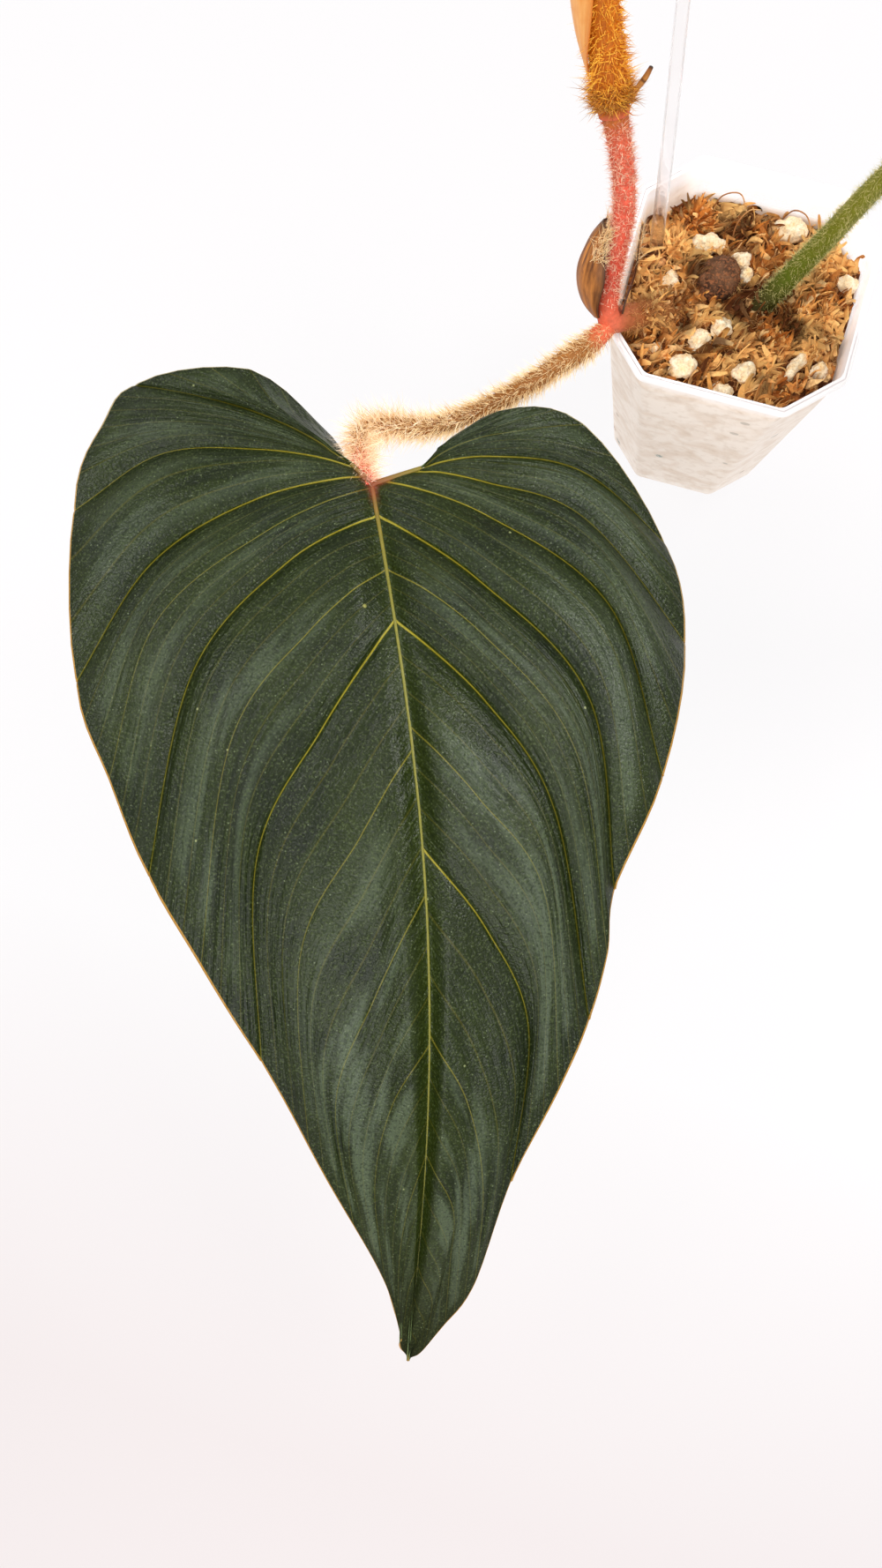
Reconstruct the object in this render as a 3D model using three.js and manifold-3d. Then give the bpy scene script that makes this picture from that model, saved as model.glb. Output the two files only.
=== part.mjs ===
// Potted Philodendron squamicaule: a clear eight-sided nursery pot of husk mix, a short climbing stem,
// one large heart-shaped leaf held out over the pot's front, a second leaf on the right, a new shoot
// and a clear stake. Millimetres, +Z up, origin at the middle of the pot's underside, and the pot's
// sides along X and Y.
import * as THREE from 'three';
import { mergeVertices } from 'three/addons/utils/BufferGeometryUtils.js';
import Module from 'manifold-3d';

const wasm = await Module();
wasm.setup();

// Pot, measured across its flat sides
const POT_HEIGHT = 115;
const POT_BASE_WIDTH = 64;
const POT_BODY_TOP_WIDTH = 87.6;
const POT_RIM_WIDTH = 90;
const POT_BASE_CORNER = 15;
const POT_TOP_CORNER = 18;
const RIM_HEIGHT = 3.5;
const RIM_LEDGE = 0.6;
const WALL = 1;
const FLOOR = 1.5;
const DRAIN_HOLE_RADIUS = 3;
const DRAIN_HOLE_RING = 21;
const DRAIN_HOLES = 8;

// Husk mix
const SOIL_LEVEL = 105;
const SOIL_ROUGHNESS = 1.6;
const SOIL_BACK_DROP = 8.5;
const DROP_START = 5;
const SHOULDER = 92;
const WORN_LEAST = 0.86;
const WORN_MOST = 1.12;

// Plant
const LEAF_LENGTH = 292;
const MIDRIB_BOW = 14.5;
const BLADE_THICKNESS = 0.8;
const SECOND_LEAF_SCALE = 0.7;
const PETIOLE_RADIUS = 3.1;
const SECOND_PETIOLE_RADIUS = 3.9;
const STEM_RADIUS = 3.6;
const ROOT_RADIUS = 1.3;
const ROOT_COLLAR_RADIUS = 1.6;
const ROOT_TIP_RADIUS = 0.7;
const ROOT_TIP_DROP = 22;
const SHEATH_THICKNESS = 0.7;

// Space kept between pieces that touch
const GAP = 0.3;

// How much an octagon's corners shrink when all its sides move in by 1
const CORNER_SHRINK = 2 - Math.SQRT2;

const colours = {
  pot: ['#f4efe9', 0.35],
  soil: ['#9c5f30', 0.95],
  stake: ['#f3ecea', 0.15],
  stem: ['#c9705a', 0.8],
  root: ['#8a6440', 0.9],
  drySheath: ['#8f5a2e', 0.85],
  newShoot: ['#c8802c', 0.8],
  newSheath: ['#eeb478', 0.55],
  newLeaf: ['#a4683c', 0.5],
  petiole: ['#b07a48', 0.85],
  greenPetiole: ['#6c7420', 0.85],
  blade: ['#35472c', 0.45],
  perlite: ['#efe2c6', 0.9],
  husk: ['#b0692f', 0.95],
  bark: ['#4a3222', 0.95],
};

const plant = new THREE.Group();

function add(name, geometry, colour) {
  const [hex, roughness] = colours[colour];
  const material = new THREE.MeshStandardMaterial({ color: hex, roughness, metalness: 0 });
  const mesh = new THREE.Mesh(geometry, material);
  mesh.name = name;
  plant.add(mesh);
}

// Solids and cuts

function welded(geometry) {
  const bare = new THREE.BufferGeometry();
  bare.setAttribute('position', geometry.getAttribute('position'));
  bare.setIndex(geometry.index);
  return mergeVertices(bare, 1e-4);
}

function toSolid(geometry) {
  const mesh = welded(geometry);
  return new wasm.Manifold(new wasm.Mesh({
    numProp: 3,
    vertProperties: Float32Array.from(mesh.getAttribute('position').array),
    triVerts: Uint32Array.from(mesh.index.array),
  }));
}

function toGeometry(solid) {
  const mesh = solid.getMesh();
  const geometry = new THREE.BufferGeometry();
  geometry.setAttribute('position', new THREE.BufferAttribute(mesh.vertProperties, 3));
  geometry.setIndex(new THREE.BufferAttribute(mesh.triVerts, 1));
  return geometry;
}

function cut(geometry, tools) {
  let solid = toSolid(geometry);
  for (const tool of tools) {
    solid = solid.subtract(toSolid(tool));
  }
  return toGeometry(solid);
}

function fromTriangles(points, triangles) {
  const geometry = new THREE.BufferGeometry();
  const places = points.flatMap((p) => [p.x, p.y, p.z]);
  geometry.setAttribute('position', new THREE.Float32BufferAttribute(places, 3));
  geometry.setIndex(triangles);
  return geometry;
}

// A closed solid through rings of equal count, each anticlockwise when seen from the end it leads to
function loft(rings) {
  const sides = rings[0].length;
  const points = rings.flat();
  const triangles = [];
  for (let r = 0; r < rings.length - 1; r += 1) {
    for (let i = 0; i < sides; i += 1) {
      const j = (i + 1) % sides;
      const [a, b, c, d] = [r * sides + i, r * sides + j, (r + 1) * sides + j, (r + 1) * sides + i];
      triangles.push(a, b, c, a, c, d);
    }
  }
  for (const [r, turned] of [[0, true], [rings.length - 1, false]]) {
    const middle = new THREE.Vector3();
    rings[r].forEach((p) => middle.addScaledVector(p, 1 / sides));
    points.push(middle);
    for (let i = 0; i < sides; i += 1) {
      const [a, b] = [r * sides + i, r * sides + (i + 1) % sides];
      triangles.push(points.length - 1, ...(turned ? [b, a] : [a, b]));
    }
  }
  return fromTriangles(points, triangles);
}

// A round stalk along a smooth path; each path point is [x, y, z, radius]
function stalk(path, { steps = 12, sides = 8, grow = 0 } = {}) {
  const curve = new THREE.CatmullRomCurve3(path.map(([x, y, z]) => new THREE.Vector3(x, y, z)));
  const radii = path.map((p) => p[3]);
  const frames = curve.computeFrenetFrames(steps, false);
  const rings = [];
  for (let i = 0; i <= steps; i += 1) {
    const centre = curve.getPointAt(i / steps);
    const at = curve.getUtoTmapping(i / steps) * (radii.length - 1);
    const radius = splineValue(radii, at) + grow;
    const ring = [];
    for (let k = 0; k < sides; k += 1) {
      const turn = (2 * Math.PI * k) / sides;
      const across = frames.normals[i].clone().multiplyScalar(radius * Math.cos(turn));
      ring.push(centre.clone().add(across).addScaledVector(frames.binormals[i], radius * Math.sin(turn)));
    }
    rings.push(ring);
  }
  rings[0].forEach((p) => p.addScaledVector(frames.tangents[0], -grow));
  rings[steps].forEach((p) => p.addScaledVector(frames.tangents[steps], grow));
  return loft(rings);
}

// An open surface given by its triangles, made a closed sheet of some thickness above and below
function thicken(surface, above, below) {
  const mesh = welded(surface);
  const index = Array.from(mesh.index.array);
  const kept = [];
  for (let i = 0; i < index.length; i += 3) {
    const [a, b, c] = index.slice(i, i + 3);
    if (a !== b && b !== c && c !== a) kept.push(a, b, c);
  }
  mesh.setIndex(kept);
  mesh.computeVertexNormals();
  const place = mesh.getAttribute('position');
  const normal = mesh.getAttribute('normal');
  const count = place.count;
  const points = [];
  for (const offset of [above, -below]) {
    for (let i = 0; i < count; i += 1) {
      const p = new THREE.Vector3().fromBufferAttribute(place, i);
      points.push(p.addScaledVector(new THREE.Vector3().fromBufferAttribute(normal, i), offset));
    }
  }
  const directed = new Set();
  const triangles = [];
  for (let i = 0; i < kept.length; i += 3) {
    const [a, b, c] = kept.slice(i, i + 3);
    triangles.push(a, b, c, a + count, c + count, b + count);
    [[a, b], [b, c], [c, a]].forEach(([from, to]) => directed.add(`${from} ${to}`));
  }
  for (const edge of directed) {
    const [from, to] = edge.split(' ').map(Number);
    if (!directed.has(`${to} ${from}`)) {
      triangles.push(to, from, from + count, to, from + count, to + count);
    }
  }
  return fromTriangles(points, triangles);
}

// Catmull-Rom value of evenly spaced numbers at a fractional place
function splineValue(values, at) {
  const last = values.length - 1;
  const i = Math.min(Math.max(Math.floor(at), 0), last - 1);
  const t = Math.min(Math.max(at, 0), last) - i;
  const p1 = values[i];
  const p2 = values[i + 1];
  const p0 = i > 0 ? values[i - 1] : 2 * p1 - p2;
  const p3 = i + 2 <= last ? values[i + 2] : 2 * p2 - p1;
  const bend = 2 * p0 - 5 * p1 + 4 * p2 - p3;
  const twist = 3 * p1 - p0 - 3 * p2 + p3;
  return p1 + 0.5 * t * (p2 - p0 + t * (bend + t * twist));
}

const splinePoint = (points, at) => [0, 1].map((axis) => splineValue(points.map((p) => p[axis]), at));

// The heart-shaped blade, in its own plan: u runs from the sinus to the tip, v to the right of the midrib.
// Each guide is a vein or margin line: where it leaves the rib, two points on its way, and where it meets
// the margin. A negative start lies on the bare rib at the back of the sinus.
const rightGuides = [
  [-17, [-7, 18], [-9.5, 20], [-12, 21.5]],
  [-17, [-11, 23.5], [-17, 31], [-23.4, 42]],
  [-17, [-12, 29], [-16, 47], [-20.5, 69.5]],
  [-16, [-8, 38], [-4, 68], [18, 95]],
  [-14, [1, 37], [12, 67], [52, 100]],
  [-4, [13, 37], [43, 74], [97, 89]],
  [11, [36, 34], [73, 66], [132, 72]],
  [30, [54, 34], [90, 61], [152, 69]],
  [47, [74, 34], [108, 54], [172, 63]],
  [81, [104, 31], [133, 50], [194, 53]],
  [118, [143, 32], [174, 44], [224, 37]],
  [175, [196, 24], [225, 28], [260, 24]],
  [214, [232, 18], [252, 16], [276, 13]],
  [254, [265, 9], [274, 8], [286, 5]],
  [292, [292, -1], [292, -1], [292, -1]],
];
const leftGuides = [
  [-10, [-12, -9], [-17, -11], [-22, -14]],
  [-10, [-21, -22], [-30, -32], [-43, -40]],
  [-10, [-22, -27], [-33, -51], [-42, -80]],
  [-9.5, [-18, -33], [-25, -61], [-27, -91.2]],
  [-9, [-14, -37], [-15, -70], [2, -99.3]],
  [-4, [4, -37], [24, -70], [62, -94.5]],
  [1, [17, -33], [45, -67], [94, -83]],
  [11, [27, -27], [61, -56], [124, -71]],
  [30, [51, -19], [84, -43], [152, -56]],
  [47, [81, -16], [119, -37], [182, -40]],
  [88, [114, -5], [149, -25], [210, -27]],
  [132, [163, -3], [195, -17], [238, -15]],
  [178, [198, 0], [225, -7], [260, -6]],
  [214, [233, 3], [252, -1], [278, -3]],
  [254, [266, 3], [276, 1], [286, -2]],
  [292, [292, -1], [292, -1], [292, -1]],
];
const RIGHT_RIB_HEADING = [-0.28, 0.96];
const LEFT_RIB_HEADING = [-0.75, -0.66];

// Height of the midrib every 60 mm, from 60 mm behind the sinus to the tip
const MIDRIB_STEP = 60;
const midribHeights = [-10, 0, 8, 4, -14, -44, -80];

// Both halves rise from the midrib at a slope and sag outwards, and the right margin rolls down
const HALF_SLOPE = 0.12;
const RIGHT_SAG = 0.003;
const LEFT_SAG = 0.0019;
const ROLL_START = 75;
const ROLL = 0.01;

function bladeHeight(u, v) {
  const rib = splineValue(midribHeights, u / MIDRIB_STEP + 1);
  const sag = (v > 0 ? RIGHT_SAG : LEFT_SAG) * v * v;
  const rolled = ROLL * Math.max(v - ROLL_START, 0) ** 2;
  return rib + HALF_SLOPE * Math.abs(v) - sag - rolled;
}

function ribPoint(station, heading) {
  if (station < 0) return [-station * heading[0], -station * heading[1]];
  const along = station / LEAF_LENGTH;
  return [station, MIDRIB_BOW * Math.sin(Math.PI * along) - along];
}

function guideAt(guides, station) {
  let i = 0;
  while (i < guides.length - 2 && guides[i + 1][0] <= station) i += 1;
  const [from, to] = [guides[i][0], guides[i + 1][0]];
  return i + (station - from) / (to - from);
}

function bladePoint(guides, heading, at, along) {
  const whole = Math.min(Math.floor(at), guides.length - 2);
  const station = THREE.MathUtils.lerp(guides[whole][0], guides[whole + 1][0], at - whole);
  const line = [ribPoint(station, heading)];
  for (const column of [1, 2, 3]) {
    line.push(splinePoint(guides.map((g) => g[column]), at));
  }
  const [u, v] = splinePoint(line, along * 3);
  return new THREE.Vector3(u, v, bladeHeight(u, v));
}

// Both halves are sampled at the same places on the midrib, so that they share its points
function bladeSurface() {
  const across = 7;
  const stations = [0];
  for (const guide of [...rightGuides, ...leftGuides]) {
    if (guide[0] > 2) stations.push(guide[0]);
  }
  const shared = [...new Set(stations)].sort((a, b) => a - b);
  const points = [];
  const triangles = [];
  for (const [guides, heading, turned] of [
    [rightGuides, RIGHT_RIB_HEADING, false], [leftGuides, LEFT_RIB_HEADING, true],
  ]) {
    const start = guideAt(guides, 0);
    const rows = [];
    const backRows = Math.ceil(start) * 2;
    for (let i = 0; i < backRows; i += 1) rows.push((start * i) / backRows);
    for (const station of shared) rows.push(guideAt(guides, station));
    rows.forEach((at, row) => {
      for (let i = 0; i <= across; i += 1) {
        points.push(bladePoint(guides, heading, at, i / across));
        if (row > 0 && i > 0) {
          const d = points.length - 1;
          const [a, b, c] = [d - across - 2, d - across - 1, d - 1];
          triangles.push(...(turned ? [a, b, d, a, d, c] : [a, d, b, a, c, d]));
        }
      }
    });
  }
  return fromTriangles(points, triangles);
}

// A leaf's own plan is laid with its midrib along a heading, pitched down, at the sinus' place
function leafPlacement({ sinus, heading, pitch, scale, mirror }) {
  const place = new THREE.Matrix4().makeTranslation(...sinus);
  place.multiply(new THREE.Matrix4().makeRotationZ(heading));
  place.multiply(new THREE.Matrix4().makeRotationY(pitch));
  return place.multiply(new THREE.Matrix4().makeScale(scale, mirror ? -scale : scale, scale));
}

function blade(placement, mirror, above, below) {
  const surface = bladeSurface();
  if (mirror) surface.index.array.reverse();
  surface.applyMatrix4(placement);
  return thicken(surface, above, below);
}

// Pot

function octagon(width, corner, z) {
  const h = width / 2;
  const k = h - corner;
  const corners = [[h, -k], [h, k], [k, h], [-k, h], [-h, k], [-h, -k], [-k, -h], [k, -h]];
  return corners.map(([x, y]) => new THREE.Vector3(x, y, z));
}

const bodyWidth = (z) => THREE.MathUtils.lerp(POT_BASE_WIDTH, POT_BODY_TOP_WIDTH, z / POT_HEIGHT);
const cornerAt = (z) => THREE.MathUtils.lerp(POT_BASE_CORNER, POT_TOP_CORNER, z / POT_HEIGHT);

// The body's outline at a height, moved in by some distance
function outlineAt(z, inset) {
  return octagon(bodyWidth(z) - 2 * inset, cornerAt(z) - CORNER_SHRINK * inset, z);
}

function pot() {
  const rimBottom = POT_HEIGHT - RIM_HEIGHT;
  const shell = loft([
    outlineAt(0, 0),
    outlineAt(rimBottom, 0),
    octagon(POT_RIM_WIDTH, POT_TOP_CORNER, rimBottom + RIM_LEDGE),
    octagon(POT_RIM_WIDTH, POT_TOP_CORNER, POT_HEIGHT),
    outlineAt(POT_HEIGHT, WALL),
    outlineAt(FLOOR, WALL),
  ]);
  const holes = [];
  for (let i = 0; i < DRAIN_HOLES; i += 1) {
    const turn = (2 * Math.PI * (i + 0.5)) / DRAIN_HOLES;
    const hole = new THREE.CylinderGeometry(DRAIN_HOLE_RADIUS, DRAIN_HOLE_RADIUS, 6 * FLOOR, 12);
    hole.rotateX(Math.PI / 2);
    holes.push(hole.translate(DRAIN_HOLE_RING * Math.cos(turn), DRAIN_HOLE_RING * Math.sin(turn), 0));
  }
  return cut(shell, holes);
}

// Stem: from its buried end it surfaces left of the middle, lies over the rim at the front left
// corner, and turns up and back there as the young internode, up to the node of the new shoot
const stemPath = [
  [12, -3, 90, 4.2], [-2, -5, 97, 4.8], [-14, -9, 100.5, 5.2], [-25, -14.5, 109, 5.2], [-36, -25, 118, 4.6],
  [-42.5, -31.5, 124, 4.2], [-45, -26, 134, 3.4], [-45.8, -18, 144, 3.4], [-46.5, -10, 152, STEM_RADIUS],
  [-49.5, -2, 159, STEM_RADIUS], [-53.5, 4.5, 166, 3.7], [-57, 9.5, 171, 4.6],
];
const stem = (grow) => stalk(stemPath, { steps: 26, sides: 10, grow });

// The big leaf's petiole, level and slightly arched, ends under the sinus
const petiolePath = [
  [-41, -30, 121, 3.2], [-46.7, -42.7, 125, 3.7], [-57.6, -59.8, 131, PETIOLE_RADIUS],
  [-69.5, -76.8, 137, 2.9], [-88, -95.1, 144, 2.8], [-101.5, -100.8, 148.5, 2.8],
  [-108.5, -106, 151, 2.8], [-106.6, -115, 153.7, 2.7], [-99.5, -126, 156.6, 2.4],
];
const petiole = () => stalk(petiolePath, { steps: 22 });
const bigLeaf = { sinus: [-98.7, -125.1, 160], heading: -1.2512, pitch: 0, scale: 1, mirror: false };

// The second leaf rises from a buried node and hangs out on the right
const secondPetiolePath = [
  [6, -4, 96, 4.4], [9, -0.5, 104, SECOND_PETIOLE_RADIUS], [15, 5.5, 117, SECOND_PETIOLE_RADIUS],
  [22, 9.2, 138, 3.7], [29, 9.5, 168, 3.4], [38, 7, 202, 3.2], [52, 3, 236, 3], [71, -1.5, 262, 2.7],
  [89, -5, 274.2, 2.5], [99, -7, 276.3, 2.2],
];
const secondPetiole = (grow) => stalk(secondPetiolePath, { steps: 24, grow });
const secondLeaf = {
  sinus: [100, -7, 279], heading: -0.12, pitch: 0.62, scale: SECOND_LEAF_SCALE, mirror: true,
};

// New shoot above the upper node: a bristly young petiole, the smooth sheath on its left that it
// leaves, and the next leaf still rolled at the top
const newPetiolePath = [
  [-57.1, 9.7, 171.2, 5.2], [-61.9, 15.5, 182, 5.7], [-65.6, 21, 191, 5.5], [-69.4, 26.5, 201, 5],
  [-73.7, 33, 213, 4.2], [-77.5, 39, 224, 3.5],
];
const newPetiole = (grow) => stalk(newPetiolePath, { steps: 12, sides: 10, grow });
const newLeafPath = [
  [-77.3, 38.7, 223.5, 3.2], [-80, 42.5, 231, 4], [-84, 47.5, 243, 3.9], [-88, 52, 256, 2.9],
  [-91.5, 55.5, 268, 1.6], [-94, 57.5, 277, 0.5],
];

// A sheath is part of a tapering tube around a stalk: it spans some turn about it, bulges and narrows
function sheath({ path, radii, middle, spread, steps, across }, above, below) {
  const curve = new THREE.CatmullRomCurve3(path.map((p) => new THREE.Vector3(...p)));
  const points = [];
  const triangles = [];
  for (let i = 0; i <= steps; i += 1) {
    const along = i / steps;
    const centre = curve.getPointAt(along);
    const tangent = curve.getTangentAt(along);
    const outward = new THREE.Vector3(Math.cos(middle), Math.sin(middle), 0);
    outward.addScaledVector(tangent, -outward.dot(tangent)).normalize();
    const sideways = new THREE.Vector3().crossVectors(tangent, outward);
    const radius = splineValue(radii, along * (radii.length - 1));
    const half = splineValue(spread, along * (spread.length - 1));
    for (let k = 0; k <= across; k += 1) {
      const turn = half * ((2 * k) / across - 1);
      const p = centre.clone().addScaledVector(outward, radius * Math.cos(turn));
      points.push(p.addScaledVector(sideways, radius * Math.sin(turn)));
      if (i > 0 && k > 0) {
        const d = points.length - 1;
        const [a, b, c] = [d - across - 2, d - across - 1, d - 1];
        triangles.push(a, b, d, a, d, c);
      }
    }
  }
  return thicken(fromTriangles(points, triangles), above, below);
}

const drySheath = {
  path: [[-43.5, -30, 126], [-46.5, -26, 131], [-48.5, -21, 137], [-49, -16, 143], [-48, -12, 148]],
  radii: [5.4, 8.8, 9.6, 7.6, 4.9],
  middle: 3.3,
  spread: [0.9, 1.35, 1.5, 1.5, 1.3],
  steps: 8,
  across: 8,
};
const drySheathStrap = {
  path: [[-43.5, -30, 126], [-44.5, -25, 131], [-44.5, -20, 137], [-45, -14, 143], [-45, -9, 148]],
  radii: [5.4, 6.4, 7, 6.6, 5.6],
  middle: 0.2,
  spread: [0.35, 0.25, 0.2, 0.22, 0.12],
  steps: 8,
  across: 3,
};
const newSheath = {
  path: newPetiolePath.slice(1, 6).map(([x, y, z]) => [x, y, z]),
  radii: [6.6, 8.8, 9.2, 7.6, 5.8],
  middle: 3.5,
  spread: [0.5, 1.1, 1.25, 1.1, 0.6],
  steps: 8,
  across: 6,
};

// A short bent stub of aerial root at the upper node
const aerialRootPath = [
  [-53.5, 13.5, 174, 0.9], [-52, 17, 176.5, 0.9], [-50.6, 18.8, 178.5, 1], [-49.4, 20.8, 181.5, 0.7],
];

// Feeding roots: each leaves the buried stem at a place along it and runs out and down in the mix
const roots = [
  { from: [-4, -6, 93], out: [-15, -22, 78], end: [-22, -26, 52] },
  { from: [4, -4, 91], out: [8, -26, 74], end: [5, -33, 40] },
  { from: [9, -3, 88], out: [24, -12, 66], end: [28, 4, 34] },
  { from: [5, -2, 92], out: [8, 20, 72], end: [-6, 30, 38] },
  { from: [-8, -4.5, 97], out: [-24, 10, 76], end: [-31, 16, 44] },
];
const rootPath = ({ from, out, end }) => {
  const low = end[2] - ROOT_TIP_DROP;
  const inward = bodyWidth(low) / bodyWidth(end[2]);
  const tip = [end[0] * inward, end[1] * inward, low];
  return [
    [...from, ROOT_COLLAR_RADIUS], [...out, ROOT_RADIUS], [...end, ROOT_RADIUS], [...tip, ROOT_TIP_RADIUS],
  ];
};
const root = (place, grow) => stalk(rootPath(place), { steps: 10, sides: 6, grow });

// Clear stake, pushed to near the pot's floor and leaning back a little
const stakePath = [
  [-26.5, 5.5, 12, 2.6], [-34.4, 10, 106, 2.6], [-38.6, 13, 160, 2.4], [-42.4, 14.4, 205, 2.2],
  [-45.6, 15.2, 246, 2],
];
const stake = (grow) => stalk(stakePath, { steps: 12, sides: 12, grow });

// The mix's top is bumpy and falls away at the back of the pot
function soilHeight(x, y) {
  const wide = Math.sin(0.31 * x + 1.3) * Math.cos(0.27 * y - 0.4);
  const narrow = 0.5 * Math.sin(0.6 * x - 0.5 * y);
  const drop = SOIL_BACK_DROP * THREE.MathUtils.smoothstep(y, DROP_START, POT_RIM_WIDTH / 2);
  return SOIL_LEVEL + SOIL_ROUGHNESS * (wide + narrow) - drop;
}

// Loose pieces on the mix: each is a worn lump, half sunk

function randomFrom(seed) {
  let state = seed;
  return () => {
    state = (state * 16807) % 2147483647;
    return state / 2147483647;
  };
}

function lump({ x, y, size, turn = 0, rise = 0.1, tip = 0 }, seed, grow) {
  const random = randomFrom(seed * 7919 + 17);
  const ball = new THREE.IcosahedronGeometry(1, 1);
  ball.setIndex([...Array(ball.getAttribute('position').count).keys()]);
  const shape = welded(ball);
  const place = shape.getAttribute('position');
  for (let i = 0; i < place.count; i += 1) {
    const worn = THREE.MathUtils.lerp(WORN_LEAST, WORN_MOST, random());
    place.setXYZ(i, ...[0, 1, 2].map((k) => place.array[3 * i + k] * (worn * size[k] / 2 + grow)));
  }
  shape.rotateY(tip);
  shape.rotateZ(turn);
  return shape.translate(x, y, soilHeight(x, y) + rise * size[2]);
}

const perlite = [
  { x: -26, y: -0.6, size: [6, 8.5, 6], turn: 0.2 },
  { x: -16.6, y: 17.8, size: [13, 6.5, 6], turn: 0.25, rise: 0.2 },
  { x: -3, y: 15, size: [7, 5.5, 5], turn: 0.6 },
  { x: 0.4, y: 8.6, size: [4.6, 4.6, 4.6], rise: 0.3 },
  { x: -9.6, y: -20.6, size: [9, 7.5, 7], turn: 1.1, rise: 0.25 },
  { x: -3, y: -14.2, size: [8, 6.8, 6.5], turn: 0.9, rise: 0.3 },
  { x: -12.6, y: -33.2, size: [10, 8.5, 7], turn: 0.3, rise: 0.2 },
  { x: 9.2, y: -29.6, size: [8.5, 7, 6], turn: 0.7, rise: 0.2 },
  { x: 3.6, y: -37, size: [7, 5, 5], turn: 0.2 },
  { x: 26.3, y: -22.6, size: [12, 4.6, 5], turn: 1.2, rise: 0.2 },
  { x: 35.4, y: -20.4, size: [6.5, 5.5, 5], turn: 0.5 },
  { x: 12.2, y: 33, size: [12, 9, 7], turn: 0.1, rise: 0.2 },
  { x: 36.4, y: 15, size: [8, 6, 5.5], turn: 0.4 },
  { x: -24.2, y: -27.4, size: [5, 4.6, 4.4], turn: 0.4 },
];
const husk = [
  { x: -24, y: 28, size: [13, 10, 9], turn: 0.5, rise: 0.15 },
  { x: -2, y: 28.5, size: [11, 8, 7], turn: 1.2 },
  { x: 27, y: 29, size: [12, 9, 8], turn: 2.3, rise: 0.15 },
  { x: 24, y: -5, size: [12, 8, 7], turn: 0.4 },
  { x: 14.5, y: -15.5, size: [12, 7, 6], turn: 2.1 },
  { x: 33.5, y: 1.5, size: [10, 8, 7], turn: 1.4, rise: 0.15 },
  { x: -27, y: 11.5, size: [9, 7, 6], turn: 2.5 },
  { x: 22.5, y: 16, size: [9, 8, 6], turn: 0.8 },
];
const bark = { x: -9, y: 4.2, size: [13.5, 17, 11], turn: -0.3, rise: 0.14, tip: 0.1 };

// Husk mix: it fills the pot to just under the rim, with a bumpy top and a hollow for each thing in it
function soil(hollows) {
  const perSide = 3;
  const inset = WALL + GAP;
  const width = (z) => bodyWidth(z) - 2 * inset;
  const ringAt = (z, scale, onTop) => {
    const corners = outlineAt(z, inset);
    const ring = [];
    corners.forEach((from, i) => {
      const to = corners[(i + 1) % corners.length];
      for (let k = 0; k < perSide; k += 1) {
        const p = from.clone().lerp(to, k / perSide);
        p.x *= scale;
        p.y *= scale;
        if (onTop) {
          p.z = soilHeight(p.x, p.y);
          const narrowed = Math.min(1, width(p.z) / width(z));
          p.x *= narrowed;
          p.y *= narrowed;
        }
        ring.push(p);
      }
    });
    return ring;
  };
  const rings = [ringAt(FLOOR + GAP, 1, false), ringAt(SHOULDER, 1, false)];
  for (const scale of [1, 0.8, 0.6, 0.4, 0.2]) rings.push(ringAt(SOIL_LEVEL, scale, true));
  return cut(loft(rings), hollows);
}

// Assembly

const perliteAt = (i, grow) => lump(perlite[i], i + 1, grow);
const huskAt = (i, grow) => lump(husk[i], i + 51, grow);
const barkAt = (grow) => lump(bark, 91, grow);
const bigBlade = (clearance) => blade(
  leafPlacement(bigLeaf), bigLeaf.mirror, clearance, BLADE_THICKNESS + clearance,
);
const secondBlade = (clearance) => blade(
  leafPlacement(secondLeaf), secondLeaf.mirror, clearance, BLADE_THICKNESS + clearance,
);

add('pot', pot(), 'pot');
add('soil_mix', soil([
  stem(GAP), secondPetiole(GAP), stake(GAP), barkAt(GAP),
  ...roots.map((r) => root(r, GAP)),
  ...perlite.map((_, i) => perliteAt(i, GAP)),
  ...husk.map((_, i) => huskAt(i, GAP)),
]), 'soil');
add('stake', stake(0), 'stake');
add('stem', cut(stem(0), [secondPetiole(GAP)]), 'stem');
roots.forEach((r, i) => {
  add(`root_${i + 1}`, cut(root(r, 0), [stem(GAP), secondPetiole(GAP)]), 'root');
});
add('dry_sheath', cut(sheath(drySheath, 0, SHEATH_THICKNESS), [stem(GAP)]), 'drySheath');
add('dry_sheath_strap', cut(sheath(drySheathStrap, 0, SHEATH_THICKNESS), [stem(GAP)]), 'drySheath');
add('petiole', cut(petiole(), [stem(GAP), bigBlade(GAP)]), 'petiole');
add('leaf_blade', bigBlade(0), 'blade');
add('second_petiole', cut(secondPetiole(0), [secondBlade(GAP)]), 'greenPetiole');
add('second_leaf_blade', secondBlade(0), 'blade');
add('new_petiole', cut(newPetiole(0), [stem(GAP)]), 'newShoot');
add('new_sheath', cut(sheath(newSheath, 0, SHEATH_THICKNESS), [newPetiole(GAP), stem(GAP)]), 'newSheath');
add('rolled_leaf', cut(stalk(newLeafPath, { steps: 10 }), [newPetiole(GAP)]), 'newLeaf');
add('aerial_root', cut(stalk(aerialRootPath, { steps: 6, sides: 6 }), [stem(GAP), newPetiole(GAP)]), 'root');
perlite.forEach((_, i) => add(`perlite_${i + 1}`, perliteAt(i, 0), 'perlite'));
husk.forEach((_, i) => add(`husk_${i + 1}`, huskAt(i, 0), 'husk'));
add('bark_chunk', barkAt(0), 'bark');

export default plant;
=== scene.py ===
# %% [markdown]
# # A potted philodendron squamicaule
# This climbing house plant has heart-shaped leaves, stalks covered in hair, and a short stem that leaves its
# nursery pot over one corner. The lesson builds its looks around a fixed frame that already holds every piece
# at its real size. Each step first says what the real piece is and how it could be made.

# %% Load the frame
import math

import bpy
import numpy as np
from mathutils import Matrix, Vector


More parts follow.
